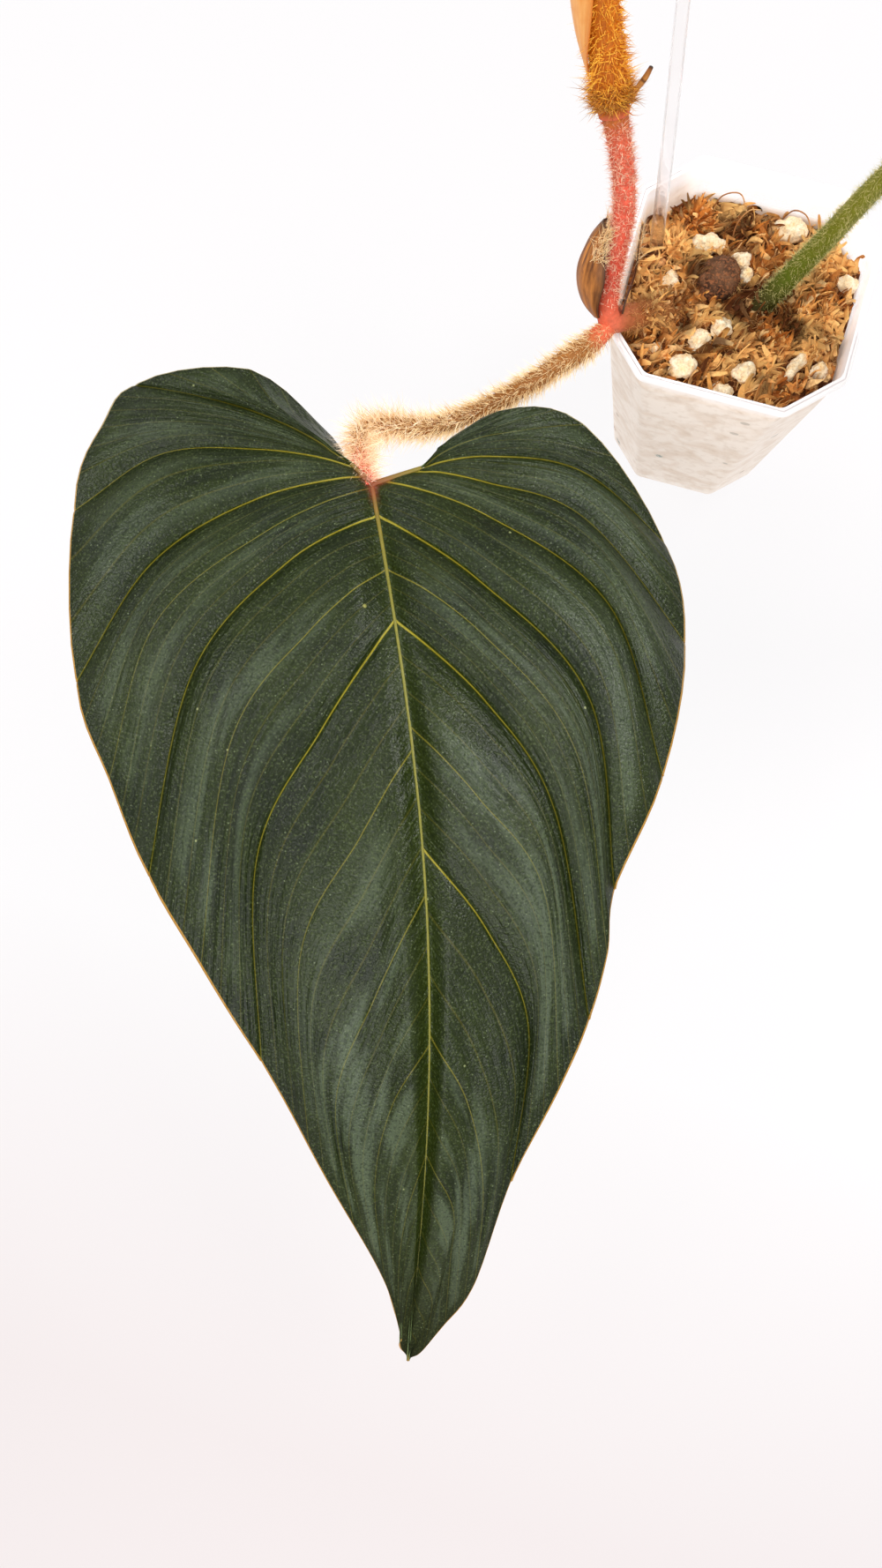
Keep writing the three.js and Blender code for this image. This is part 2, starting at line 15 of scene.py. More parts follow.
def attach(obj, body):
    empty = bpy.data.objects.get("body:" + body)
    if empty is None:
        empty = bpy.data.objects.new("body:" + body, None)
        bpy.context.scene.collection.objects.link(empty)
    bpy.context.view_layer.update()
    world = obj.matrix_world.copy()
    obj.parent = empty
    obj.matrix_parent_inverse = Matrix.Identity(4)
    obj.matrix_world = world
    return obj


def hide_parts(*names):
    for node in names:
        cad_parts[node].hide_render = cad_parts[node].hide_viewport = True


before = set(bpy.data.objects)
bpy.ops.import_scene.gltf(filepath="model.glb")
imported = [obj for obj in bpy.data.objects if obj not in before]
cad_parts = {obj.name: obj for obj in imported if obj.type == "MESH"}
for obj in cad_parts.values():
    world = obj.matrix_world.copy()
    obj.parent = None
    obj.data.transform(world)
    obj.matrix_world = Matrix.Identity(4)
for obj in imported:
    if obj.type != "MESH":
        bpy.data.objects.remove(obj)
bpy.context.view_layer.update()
MM = 0.001

# %% [markdown]
# ## Camera
# The picture is taken from almost straight above, with the camera turned a little, so that the leaf hangs
# down the picture. A camera could be aimed with a tracking constraint. Three turns say the same with no
# helper object: how far round the plant, how high above the horizon, and how far the camera is rolled.

# %% Camera
CAMERA_PLACE = Vector((-21, -254, 521)) * MM
AZIMUTH, ELEVATION, ROLL = (math.radians(angle) for angle in (34.1, 82.0, -17.6))
SENSOR = 36.0
FOCAL_PIXELS = 1343.0
PICTURE_HEIGHT = 1778.0

lens = bpy.data.cameras.new("camera")
lens.sensor_width = SENSOR
lens.lens = FOCAL_PIXELS / PICTURE_HEIGHT * SENSOR
camera = bpy.data.objects.new("camera", lens)
bpy.context.scene.collection.objects.link(camera)
turn = Matrix.Rotation(AZIMUTH, 4, "Z") @ Matrix.Rotation(math.pi / 2 - ELEVATION, 4, "X")
camera.matrix_world = Matrix.Translation(CAMERA_PLACE) @ turn @ Matrix.Rotation(ROLL, 4, "Z")
bpy.context.scene.camera = camera
print(f"camera: lens {lens.lens:.1f} mm, {camera.location.z:.3f} m above the floor")

# %% [markdown]
# ## Two small helpers
# Most steps below end the same way: a modifier is added and applied, and the finished piece gets its material
# and is tied to the frame. Writing that once keeps each step short. Everything is deselected first, because
# an operator acts on all that is selected.

# %% Modelling helpers
def clear_selection():
    if bpy.context.object and bpy.context.object.mode != "OBJECT":
        bpy.ops.object.mode_set(mode="OBJECT")
    bpy.ops.object.select_all(action="DESELECT")


def activate(piece):
    clear_selection()
    piece.select_set(True)
    bpy.context.view_layer.objects.active = piece


def modify(piece, kind, **settings):
    """Adds a modifier to a piece, sets it up and applies it."""
    activate(piece)
    modifier = piece.modifiers.new(kind.lower(), kind)
    for name, value in settings.items():
        setattr(modifier, name, value)
    bpy.ops.object.modifier_apply(modifier=modifier.name)


def settle(piece, slot, materials=(), nodes=(), smooth=50):
    """Gives a finished piece its materials and smooth shading, parents it to the root body, and hides the
    frame parts that it stands for.
    """
    activate(piece)
    if materials:
        piece.data.materials.clear()
    for material in materials:
        piece.data.materials.append(material)
    bpy.ops.object.shade_smooth_by_angle(angle=math.radians(smooth))
    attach(piece, "root")
    if nodes:
        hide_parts(*nodes)
    triangles = sum(len(face.vertices) - 2 for face in piece.data.polygons)
    print(f"{piece.name}: {triangles} triangles, in slot {slot}")


# %% [markdown]
# ## Material helpers
# Plant materials are networks of procedural nodes. `node` adds one and fills its sockets with numbers or with
# links, so that a network reads from top to bottom, and `tinted` lays one more colour over what is there. Two
# effects serve many finishes, so each is a node group: `mottle` gives soft blotches between 0 and 1, and
# `relief` turns fine noise into a surface normal.

# %% Material helpers
def fill(tree, made, inputs):
    for socket, value in inputs.items():
        if isinstance(value, bpy.types.NodeSocket):
            tree.links.new(value, made.inputs[socket])
        else:
            made.inputs[socket].default_value = value


def node(tree, kind, inputs=None, **settings):
    made = tree.nodes.new("ShaderNode" + kind)
    for name, value in settings.items():
        if name == "group":
            made.node_tree = value
        else:
            setattr(made, name, value)
    fill(tree, made, inputs or {})
    return made


def math_node(tree, operation, *values, clamp=False):
    made = node(tree, "Math", dict(enumerate(values)), operation=operation, use_clamp=clamp)
    return made.outputs[0]


def blend(tree, factor, first, second, kind="MIX"):
    """A mix of two colours."""
    made = node(tree, "Mix", data_type="RGBA", blend_type=kind)
    fill(tree, made, {0: factor, 6: first, 7: second})
    return made.outputs[2]


def ramp(tree, factor, stops):
    """A colour that changes along a value; each stop is (place, colour)."""
    made = node(tree, "ValToRGB", {0: factor})
    while len(made.color_ramp.elements) < len(stops):
        made.color_ramp.elements.new(0.5)
    for element, (place, colour) in zip(made.color_ramp.elements, stops):
        element.position = place
        element.color = colour
    return made.outputs[0]


def attribute(tree, name):
    return node(tree, "Attribute", attribute_name=name).outputs["Fac"]


def object_place(tree):
    return node(tree, "TexCoord").outputs["Object"]


def tinted(tree, tone, value, strength, colour):
    """A tone with a colour laid over it, as strong as a value times a strength."""
    return blend(tree, math_node(tree, "MULTIPLY", value, strength, clamp=True), tone, colour)


def remap(tree, value, start=0.0, end=1.0, low=0.0, high=1.0):
    """A value that runs from low to high while another runs from start to end."""
    return node(tree, "MapRange", {0: value, 1: start, 2: end, 3: low, 4: high}).outputs[0]


def rgb(red, green, blue):
    """A colour given as it looks on a screen, from 0 to 255, turned into the linear one that shaders use."""
    linear = [((c / 255 + 0.055) / 1.055) ** 2.4 if c > 10 else c / 255 / 12.92 for c in (red, green, blue)]
    return (*linear, 1.0)


def new_material(name, roughness, **values):
    """A material, its node tree and its Principled shader, whose uniform numbers are set right on it."""
    material = bpy.data.materials.new(name)
    material.use_nodes = True
    shader = material.node_tree.nodes["Principled BSDF"]
    shader.inputs["Roughness"].default_value = roughness
    for label, value in values.items():
        shader.inputs[label.replace("_", " ")].default_value = value
    return material, material.node_tree, shader


def new_group(name, inputs, outputs):
    group = bpy.data.node_groups.new(name, "ShaderNodeTree")
    for label, value in inputs.items():
        socket = group.interface.new_socket(label, in_out="INPUT", socket_type="NodeSocketFloat")
        socket.default_value = value
    for label, kind in outputs.items():
        group.interface.new_socket(label, in_out="OUTPUT", socket_type=kind)
    return group, group.nodes.new("NodeGroupInput"), group.nodes.new("NodeGroupOutput")


mottle, entry, leave = new_group(
    "mottle", {"Scale": 100.0, "Detail": 3.0, "Low": 0.35, "High": 0.65}, {"Value": "NodeSocketFloat"}
)
cloud = node(mottle, "TexNoise", {
    "Vector": object_place(mottle), "Scale": entry.outputs["Scale"], "Detail": entry.outputs["Detail"],
})
spread = remap(mottle, cloud.outputs["Fac"], entry.outputs["Low"], entry.outputs["High"])
mottle.links.new(spread, leave.inputs["Value"])

relief, entry, leave = new_group(
    "relief", {"Scale": 900.0, "Distance": 0.0002, "Strength": 0.5}, {"Normal": "NodeSocketVector"}
)
cloud = node(relief, "TexNoise", {
    "Vector": object_place(relief), "Scale": entry.outputs["Scale"], "Detail": 3.0,
})
bump = node(relief, "Bump", {
    "Height": cloud.outputs["Fac"],
    "Distance": entry.outputs["Distance"], "Strength": entry.outputs["Strength"],
})
relief.links.new(bump.outputs[0], leave.inputs["Normal"])


def blotches(tree, scale, low=0.35, high=0.65, detail=3.0):
    """The mottle group placed in a material, with its own values."""
    values = {"Scale": scale, "Detail": detail, "Low": low, "High": high}
    return node(tree, "Group", values, group=mottle).outputs[0]


def roughen(tree, shader, scale, distance, strength=0.6):
    """The relief group placed in a material and led to its shader."""
    made = node(tree, "Group", {"Scale": scale, "Distance": distance, "Strength": strength}, group=relief)
    tree.links.new(made.outputs[0], shader.inputs["Normal"])


print("node groups:", ", ".join(group.name for group in bpy.data.node_groups))

# %% [markdown]
# ## Floor and light
# The plant stands on a plain white table in bright, soft daylight, so bright that the table shows no shadow.
# A white floor under strong lamps would burn out only where no shadow falls. This floor gives most of its
# light off itself, which keeps it even, and keeps just a breath of shading. A satin leaf shows what it
# mirrors. Straight above it the room is dim, and the walls all round are bright, so the sky is dark at the
# top and light lower down. Three big soft lamps then draw the satin streaks on the folds.

# %% Floor and light
FLOOR_WIDTH = 8.0
FLOOR_PAINT, FLOOR_GLOW = rgb(62, 58, 58), 0.92
FLOOR_BACK, FLOOR_FRONT = rgb(252, 251, 252), rgb(240, 232, 232)
FADE_START, FADE_END = -0.29, -0.48
# Brightness of the sky against the height of a direction, 0 at the horizon and 1 straight above
SKY = [(0.0, 0.4), (0.45, 0.36), (0.62, 0.9), (0.84, 0.88), (0.94, 0.24), (1.0, 0.08)]
LAMP_AIM = Vector((-0.05, -0.2, 0.1))
# Each lamp is its place, width and power
LAMPS = {
    "right_lamp": (Vector((0.6, 0.3, 1.3)), 0.5, 12.0),
    "left_lamp": (Vector((-0.8, -0.1, 1.2)), 0.4, 5.0),
    "front_lamp": (Vector((0.05, -1.1, 1.2)), 0.9, 10.0),
}

clear_selection()
bpy.ops.mesh.primitive_plane_add(size=FLOOR_WIDTH, location=(0, 0, 0))
floor = bpy.context.object
floor.name = "floor"
table_top, tree, shader = new_material("table_top", 0.6, Emission_Strength=FLOOR_GLOW)
forward = node(tree, "SeparateXYZ", {0: object_place(tree)}).outputs["Y"]
own_light = blend(tree, remap(tree, forward, FADE_START, FADE_END), FLOOR_BACK, FLOOR_FRONT)
fill(tree, shader, {"Base Color": FLOOR_PAINT, "Emission Color": own_light})
floor.data.materials.append(table_top)

world = bpy.data.worlds.new("daylight")
bpy.context.scene.world = world
world.use_nodes = True
tree = world.node_tree
seen = node(tree, "LightPath").outputs["Is Camera Ray"]
climb = node(tree, "SeparateXYZ", {0: node(tree, "TexCoord").outputs["Generated"]}).outputs["Z"]
glow = ramp(tree, climb, [(height, (value, value, value, 1)) for height, value in SKY])
fill(tree, tree.nodes["Background"], {"Color": blend(tree, seen, glow, (1, 1, 1, 1)), "Strength": 1.0})

for name, (place, width, power) in LAMPS.items():
    lamp = bpy.data.lights.new(name, "AREA")
    lamp.size = width
    lamp.energy = power
    lamp_object = bpy.data.objects.new(name, lamp)
    bpy.context.scene.collection.objects.link(lamp_object)
    lamp_object.location = place
    lamp_object.rotation_euler = (LAMP_AIM - place).to_track_quat("-Z", "Y").to_euler()
bpy.context.scene.view_settings.view_transform = "Standard"
print(f"light: a sky in {len(SKY)} steps, {len(LAMPS)} soft lamps")

# %% [markdown]
# ## The shape of a leaf
# The blade is a heart whose veins leave the midrib and bend towards the tip. A sculpted plane or a cloth
# would hide those veins' order. Here every main vein is one guide line: where it leaves the rib, two points
# on its way, and where it meets the margin, in millimetres, with u along the midrib and v to its right. A
# smooth surface is drawn through the guides, so each vein is a line of the mesh and can be sunk exactly.

# %% Leaf guides
LEAF_LENGTH = 292.0
MIDRIB_BOW = 14.5
RIGHT_GUIDES = [
    [-17, (-7, 18), (-9.5, 20), (-12, 21.5)], [-17, (-11, 23.5), (-17, 31), (-23.4, 42)],
    [-17, (-12, 29), (-16, 47), (-20.5, 69.5)], [-16, (-8, 38), (-4, 68), (18, 95)],
    [-14, (1, 37), (12, 67), (52, 100)], [-4, (13, 37), (43, 74), (97, 89)],
    [11, (36, 34), (73, 66), (132, 72)], [30, (54, 34), (90, 61), (152, 69)],
    [47, (74, 34), (108, 54), (172, 63)], [81, (104, 31), (133, 50), (194, 53)],
    [118, (143, 32), (174, 44), (224, 37)], [175, (196, 24), (225, 28), (260, 24)],
    [214, (232, 18), (252, 16), (276, 13)], [254, (265, 9), (274, 8), (286, 5)],
    [292, (292, -1), (292, -1), (292, -1)],
]
LEFT_GUIDES = [
    [-10, (-12, -9), (-17, -11), (-22, -14)], [-10, (-21, -22), (-30, -32), (-43, -40)],
    [-10, (-22, -27), (-33, -51), (-42, -80)], [-9.5, (-18, -33), (-25, -61), (-27, -91.2)],
    [-9, (-14, -37), (-15, -70), (2, -99.3)], [-4, (4, -37), (24, -70), (62, -94.5)],
    [1, (17, -33), (45, -67), (94, -83)], [11, (27, -27), (61, -56), (124, -71)],
    [30, (51, -19), (84, -43), (152, -56)], [47, (81, -16), (119, -37), (182, -40)],
    [88, (114, -5), (149, -25), (210, -27)], [132, (163, -3), (195, -17), (238, -15)],
    [178, (198, 0), (225, -7), (260, -6)], [214, (233, 3), (252, -1), (278, -3)],
    [254, (262, 1.6), (274, -0.8), (286, -2.8)], [292, (292, -1), (292, -1), (292, -1)],
]
RIGHT_RIB = (-0.28, 0.96)
LEFT_RIB = (-0.75, -0.66)

# How strong each guide's vein is, from 0 to 1, in the order of the guides
RIGHT_VEINS = [0, 0, 0.3, 1, 1, 1, 1, 0.35, 0.9, 0.3, 0.75, 0.3, 0.15, 0.1, 0]
LEFT_VEINS = [0, 0, 0.65, 0, 1, 1, 0.35, 0.95, 0.4, 0.85, 0.35, 0.3, 0.2, 0.15, 0.1, 0]
STRONG = 0.6

# Height of the midrib every 60 mm, from 60 mm behind the sinus to the tip, and how the halves sag and roll
MIDRIB_STEP = 60.0
MIDRIB_HEIGHTS = [[-10], [0], [8], [4], [-14], [-44], [-80]]
HALF_SLOPE = 0.12
RIGHT_SAG, LEFT_SAG = 0.003, 0.0019
ROLL_START, ROLL_DOWN = 75.0, 0.01


def catmull_rom(t, p0, p1, p2, p3):
    """The place at share t between the middle two of four in a row."""
    curve = 2 * p0 - 5 * p1 + 4 * p2 - p3 + t * (3 * p1 - p0 - 3 * p2 + p3)
    return p1 + 0.5 * t * (p2 - p0 + t * curve)


def spline(values, at):
    """Catmull-Rom values of evenly spaced rows, at an array of fractional places."""
    rows = np.asarray(values, float)
    last = len(rows) - 1
    i = np.clip(np.floor(at).astype(int), 0, last - 1)
    t = (np.clip(at, 0, last) - i)[..., None]
    padded = np.vstack([2 * rows[:1] - rows[1:2], rows, 2 * rows[-1:] - rows[-2:-1]])
    return catmull_rom(t, *(padded[i + j] for j in range(4)))


def rib_point(station, heading):
    """The rib's plan at some stations; a negative station lies behind the sinus, on the bare rib."""
    along = np.clip(station, 0, None)
    ahead = np.stack([along, MIDRIB_BOW * np.sin(math.pi * along / LEAF_LENGTH) - along / LEAF_LENGTH], -1)
    behind = -np.clip(station, None, 0)[..., None] * np.array(heading)
    return ahead + behind


def blade_plan(guides, heading, k, s):
    """Plan points at fractional guides k and at s from the rib, 0, to the margin, 1."""
    station = np.interp(k, np.arange(len(guides)), [guide[0] for guide in guides])
    line = [rib_point(station, heading)] + [spline([guide[c] for guide in guides], k) for c in (1, 2, 3)]
    line = np.stack([2 * line[0] - line[1], *line, 2 * line[3] - line[2]], -2)
    i = np.clip(np.floor(3 * s).astype(int), 0, 2)
    t = (3 * s - i)[..., None]
    pick = i[..., None, None].repeat(2, -1)
    return catmull_rom(t, *(np.take_along_axis(line, pick + j, -2)[..., 0, :] for j in range(4)))


def blade_height(u, v):
    rib = spline(MIDRIB_HEIGHTS, u / MIDRIB_STEP + 1)[..., 0]
    sag = np.where(v > 0, RIGHT_SAG, LEFT_SAG) * v * v
    rolled = ROLL_DOWN * np.clip(v - ROLL_START, 0, None) ** 2
    return rib + HALF_SLOPE * np.abs(v) - sag - rolled


print(f"guides: {len(RIGHT_GUIDES)} right, {len(LEFT_GUIDES)} left, blade {LEAF_LENGTH:.0f} mm long")

# %% [markdown]
# ## Rows that hug the veins
# A vein is half a millimetre wide on a leaf a hand long, so an even grid fine enough for it would be huge.
# The rows are bunched instead: nine rows follow each vein at fixed distances from it, and a few wide ones
# cross the lamina between. The same rows sink each vein into a groove and let the lamina swell between.

# %% Leaf rows and relief
VEIN_HALF_WIDTH = 0.5
BAND = np.array([-5, -2.4, -1, -0.5, 0, 0.5, 1, 2.4, 5])
BAND_GROOVE = np.array([0, 0.45, 0.85, 0.95, 1, 0.95, 0.85, 0.45, 0])
BAND_VEIN = np.array([0, 0, 0, 1, 1, 1, 0, 0, 0])
BAND_LIMIT = 0.38
ROWS_BETWEEN = 4
SWELL = 0.125
SWELL_LIMIT = 4.4
SWELL_SUNK = 2.0
GROOVE_DEPTH = 0.5
RIPPLE = 0.9
FOLD = 0.35
CREASE_FALL = 0.28
MIDRIB_GROOVE = 1.7
THINNING = 4.0
RIB_REACH, SINUS_REACH = 4.0, 14.0


def smooth(x):
    x = np.clip(x, 0, 1)
    return x * x * (3 - 2 * x)


def blade_columns(count):
    """Places from rib to margin, closer together at both ends."""
    start = 0.03 * np.linspace(0, 1, 8) ** 1.5
    return np.concatenate([start, np.linspace(0.03, 0.985, count)[1:], [0.991, 0.996, 1]])


def half_blade(guides, heading, veins, left, columns):
    """Points of one half in its plan, and values for its materials, as arrays of rows by columns."""
    s = blade_columns(columns)
    last = len(guides) - 1
    edge = blank = np.zeros_like(s)
    # Each row is its fractional guide, its vein value and its groove value
    rows = [(blank, blank, blank)]
    for g in range(1, last):
        strength = veins[g] * (1 - 0.7 * smooth(s))
        width = VEIN_HALF_WIDTH * (0.45 + 0.55 * veins[g]) * (0.4 + 0.6 * np.exp(-THINNING * s))
        near = [blade_plan(guides, heading, np.full_like(s, g + d), s) for d in (-0.05, 0.05)]
        along = np.gradient(0.5 * (near[0] + near[1]), axis=0)
        along /= np.linalg.norm(along, axis=1, keepdims=True) + 1e-9
        step = (near[1] - near[0]) / 0.1
        spacing = np.abs(step[:, 0] * along[:, 1] - step[:, 1] * along[:, 0]) + 1e-3
        shifts = [BAND_LIMIT * np.tanh(d * width / spacing / BAND_LIMIT) for d in BAND]
        for j in range(1, ROWS_BETWEEN + 1):
            share = j / (ROWS_BETWEEN + 1)
            rows.append((edge + (g + shifts[0] - edge) * share, blank, blank))
        for shift, on_vein, in_groove in zip(shifts, BAND_VEIN, BAND_GROOVE):
            rows.append((g + shift, on_vein * strength, in_groove * strength))
        edge = g + shifts[-1]
    for j in range(1, ROWS_BETWEEN + 2):
        rows.append((edge + (last - edge) * j / (ROWS_BETWEEN + 1), blank, blank))
    k, vein, groove = (np.array(column) for column in zip(*rows))
    s = np.broadcast_to(s, k.shape)
    plan = blade_plan(guides, heading, k, s)

    strong = [0] + [g for g in range(1, last) if veins[g] >= STRONG] + [last]
    before = np.clip(np.searchsorted(strong, k, side="right") - 1, 0, len(strong) - 2)
    low, high = np.array(strong)[before], np.array(strong)[before + 1]
    tau = (k - low) / (high - low)
    before, after = (blade_plan(guides, heading, end.astype(float), s) for end in (low, high))
    swell = np.minimum(SWELL * np.linalg.norm(after - before, axis=-1), SWELL_LIMIT)
    swell = swell * (4 * tau * (1 - tau)) ** 0.7 * smooth(s / 0.15) * (1 - 0.35 * s)
    height = swell - SWELL_SUNK * smooth(s / 0.4) - GROOVE_DEPTH * groove * smooth(s / 0.02)
    height += RIPPLE * smooth((s - 0.7) / 0.3) * np.sin(3.7 * k + (1 if left else 3))
    height += 0.5 * np.sin(2.1 * k + 5 * s) * smooth(s / 0.3)
    outer = smooth((s - 0.4) / 0.3) * (1 - smooth((s - 0.9) / 0.1))
    height += FOLD * np.sin(9 * k + 2 * np.sin(6 * s + k)) * outer
    if left:
        crease = blade_plan(guides, heading, np.ones_like(k), s)
        beyond = np.linalg.norm(plan - crease, axis=-1) * (k < 1)
        height -= CREASE_FALL * beyond * smooth(s / 0.2)
    stations = np.linspace(-17, LEAF_LENGTH, 160)
    ribs = rib_point(stations, heading)
    to_rib = np.linalg.norm(plan[..., None, :] - ribs, axis=-1).min(-1)
    height -= MIDRIB_GROOVE * np.exp(-(to_rib / 3.2) ** 2)
    points = np.concatenate([plan, (blade_height(plan[..., 0], plan[..., 1]) + height)[..., None]], -1)
    sinus = np.exp(-np.linalg.norm(plan, axis=-1) / SINUS_REACH)
    ridge = 4 * tau * (1 - tau) * smooth(s / 0.25) * (1 - smooth((s - 0.9) / 0.1))
    return points, {
        "vein": vein, "groove": groove, "along": s, "across": k, "sinus": sinus, "ridge": ridge,
        "rib": np.exp(-to_rib / RIB_REACH), "ahead": plan[..., 0] / LEAF_LENGTH,
    }


def write_values(mesh, label, values):
    """Stores a value at every point of a mesh, for its materials to read."""
    layer = mesh.attributes.new(label, "FLOAT", "POINT")
    layer.data.foreach_set("value", np.ascontiguousarray(values, dtype=np.float32).reshape(-1))


def grid_piece(name, points, values=None):
    """A grid primitive whose points are laid on a surface given as rows by columns, in metres."""
    rows, columns = points.shape[:2]
    clear_selection()
    bpy.ops.mesh.primitive_grid_add(x_subdivisions=columns - 1, y_subdivisions=rows - 1, size=1)
    piece = bpy.context.object
    piece.name = name
    piece.data.vertices.foreach_set("co", points.reshape(-1))
    for label, value in (values or {}).items():
        write_values(piece.data, label, value)
    piece.data.update()
    return piece


def tidy_mesh(piece, distance=2e-6, upward=False):
    """Merges doubles, drops loose bits, and turns the faces outwards, or upwards on an open sheet."""
    activate(piece)
    bpy.ops.object.mode_set(mode="EDIT")
    bpy.ops.mesh.select_all(action="SELECT")
    bpy.ops.mesh.remove_doubles(threshold=distance)
    bpy.ops.mesh.delete_loose()
    if not upward:
        bpy.ops.mesh.select_all(action="SELECT")
        bpy.ops.mesh.normals_make_consistent(inside=False)
    bpy.ops.object.mode_set(mode="OBJECT")
    if upward and sum(face.normal.z * face.area for face in piece.data.polygons) < 0:
        piece.data.flip_normals()


def join(name, pieces):
    clear_selection()
    for piece in pieces:
        piece.select_set(True)
    bpy.context.view_layer.objects.active = pieces[0]
    bpy.ops.object.join()
    bpy.context.object.name = name
    return bpy.context.object


# %% [markdown]
# ## Stalks, ribs and roots
# Ribs, stems and roots are all round rods along a smooth route. A circle could be extruded step by step; a
# curve with a bevel does the same in one go and lets every point have its own thickness, so a curve is laid
# along the route and then made a mesh. The route is the same smooth line that the frame's pieces follow.

# %% Route and stalk helpers
def route(path, count):
    """Evenly spaced points and radii along a centripetal Catmull-Rom line; path rows are x, y, z, radius."""
    path = np.asarray(path, float)
    ends = np.vstack([2 * path[0] - path[1], path, 2 * path[-1] - path[-2]])
    fine = []
    for i in range(len(path) - 1):
        p0, p1, p2, p3 = ends[i:i + 4]
        a, b, c = (max(np.linalg.norm(q[:3] - p[:3]), 1e-6) ** 0.5 for p, q in ((p0, p1), (p1, p2), (p2, p3)))
        first = ((p1 - p0) / a - (p2 - p0) / (a + b) + (p2 - p1) / b) * b
        second = ((p2 - p1) / b - (p3 - p1) / (b + c) + (p3 - p2) / c) * b
        for t in np.linspace(0, 1, 40, endpoint=i == len(path) - 2):
            bend = 3 * (p2 - p1) - 2 * first - second
            twist = 2 * (p1 - p2) + first + second
            fine.append(p1 + t * first + t * t * bend + t ** 3 * twist)
    fine = np.array(fine)
    length = np.concatenate([[0], np.cumsum(np.linalg.norm(np.diff(fine[:, :3], axis=0), axis=1))])
    at = np.linspace(0, length[-1], count)
    return np.stack([np.interp(at, length, fine[:, axis]) for axis in range(4)], -1)


def rod(name, points, sides=4):
    """A closed rod through points with radii, in metres, with its place along the route as an attribute."""
    clear_selection()
    line = bpy.data.curves.new(name, "CURVE")
    line.dimensions = "3D"
    line.bevel_depth = 1.0
    line.bevel_resolution = sides
    line.use_fill_caps = True
    strip = line.splines.new("POLY")
    strip.points.add(len(points) - 1)
    strip.points.foreach_set("co", np.hstack([points[:, :3], np.ones((len(points), 1))]).reshape(-1))
    strip.points.foreach_set("radius", points[:, 3])
    piece = bpy.data.objects.new(name, line)
    bpy.context.scene.collection.objects.link(piece)
    activate(piece)
    bpy.ops.object.convert(target="MESH")
    piece = bpy.context.object
    tidy_mesh(piece, 1e-6)
    mark_along(piece, points)
    return piece


def mark_along(piece, points):
    """Writes how far along a route, from 0 to 1, each vertex of a piece lies."""
    spots = np.empty(len(piece.data.vertices) * 3)
    piece.data.vertices.foreach_get("co", spots)
    gaps = np.linalg.norm(spots.reshape(-1, 1, 3) - points[None, :, :3], axis=-1)
    write_values(piece.data, "along", gaps.argmin(1) / (len(points) - 1))


# %% [markdown]
# ## Leaf finish
# The upper face is a very dark green with a satin shine that comes from thousands of tiny pebbles, whose tops
# carry painted glints and whose gaps carry painted shade. The veins are yellow-green, the tissue right beside
# them is darker and greener, and the margin is a fine orange line. Folds that face the sky carry a painted
# sheen in pale bands, stronger down the leaf, and the hollows between them are darkened almost to black by
# painted shade. The vein and groove values that the rows carry say where each colour goes, so it fits the
# relief exactly.

# %% Leaf materials
LEAF_DARK = rgb(20, 28, 8)
LEAF_MID = rgb(38, 47, 14)
LEAF_STREAK = rgb(32, 42, 8)
LEAF_OLIVE = rgb(44, 56, 6)
LEAF_TIP = rgb(30, 34, 0)
# Painted sheen for the folds, and painted shade for the hollows between them
LEAF_PAINTED_SHEEN, LEAF_PAINTED_SHADE = rgb(96, 108, 86), rgb(14, 22, 2)
VEIN_COLOUR = rgb(150, 138, 44)
RIB_BROWN = rgb(128, 52, 34)
MARGIN_PALE, MARGIN_ORANGE = rgb(168, 156, 122), rgb(158, 116, 46)
PEBBLE = 1150.0
# Colours of the painted glints on the pebbles' tops and of the painted shade in their gaps
PEBBLE_PAINTED_GLINT, PEBBLE_PAINTED_SHADE = rgb(88, 100, 60), rgb(16, 26, 6)
SATIN, DULL = 0.33, 0.9
FINE_VEINS = 3.0
# Each kind of speck: its scale, its size in a cell, the share that is left out, its strength and its colour.
# The first kind is painted glints on the pebbles.
SPECKS_AND_PAINTED_GLINTS = [
    (480.0, 0.15, 0.5, 0.5, rgb(118, 130, 96)),
    (80.0, 0.045, 0.5, 0.6, rgb(158, 164, 112)),
    (24.0, 0.024, 0.55, 0.6, rgb(168, 164, 84)),
]


def mask(tree, value, start, end):
    """0 at start and 1 at end, with a soft step between."""
    made = node(tree, "MapRange", {0: value, 1: start, 2: end}, interpolation_type="SMOOTHSTEP")
    return made.outputs[0]


def streak_noise(tree, across_scale, along_scale, **settings):
    """Noise drawn out along a sheet, by the across and along values that its points carry."""
    place = node(tree, "CombineXYZ", {
        0: math_node(tree, "MULTIPLY", attribute(tree, "across"), across_scale),
        1: math_node(tree, "MULTIPLY", attribute(tree, "along"), along_scale),
    })
    return node(tree, "TexNoise", {"Vector": place.outputs[0], "Scale": 1.0, **settings}).outputs["Fac"]


def cell_field(tree, vector, scale):
    """Scattered cells: the distance to the nearest one's middle, and a random value for each."""
    cells = node(tree, "TexVoronoi", {"Vector": vector, "Scale": scale})
    chance = node(tree, "SeparateColor", {0: cells.outputs["Color"]}).outputs[0]
    return cells.outputs["Distance"], chance


blade_top, tree, shader = new_material("blade_top", SATIN, Specular_IOR_Level=0.24)
where = object_place(tree)
across, along = attribute(tree, "across"), attribute(tree, "along")
tone = blend(tree, blotches(tree, 45), LEAF_DARK, LEAF_MID)
streaks = streak_noise(tree, 9.0, 5.0, Detail=4.0)
tone = blend(tree, mask(tree, streaks, 0.4, 0.66), tone, LEAF_STREAK)

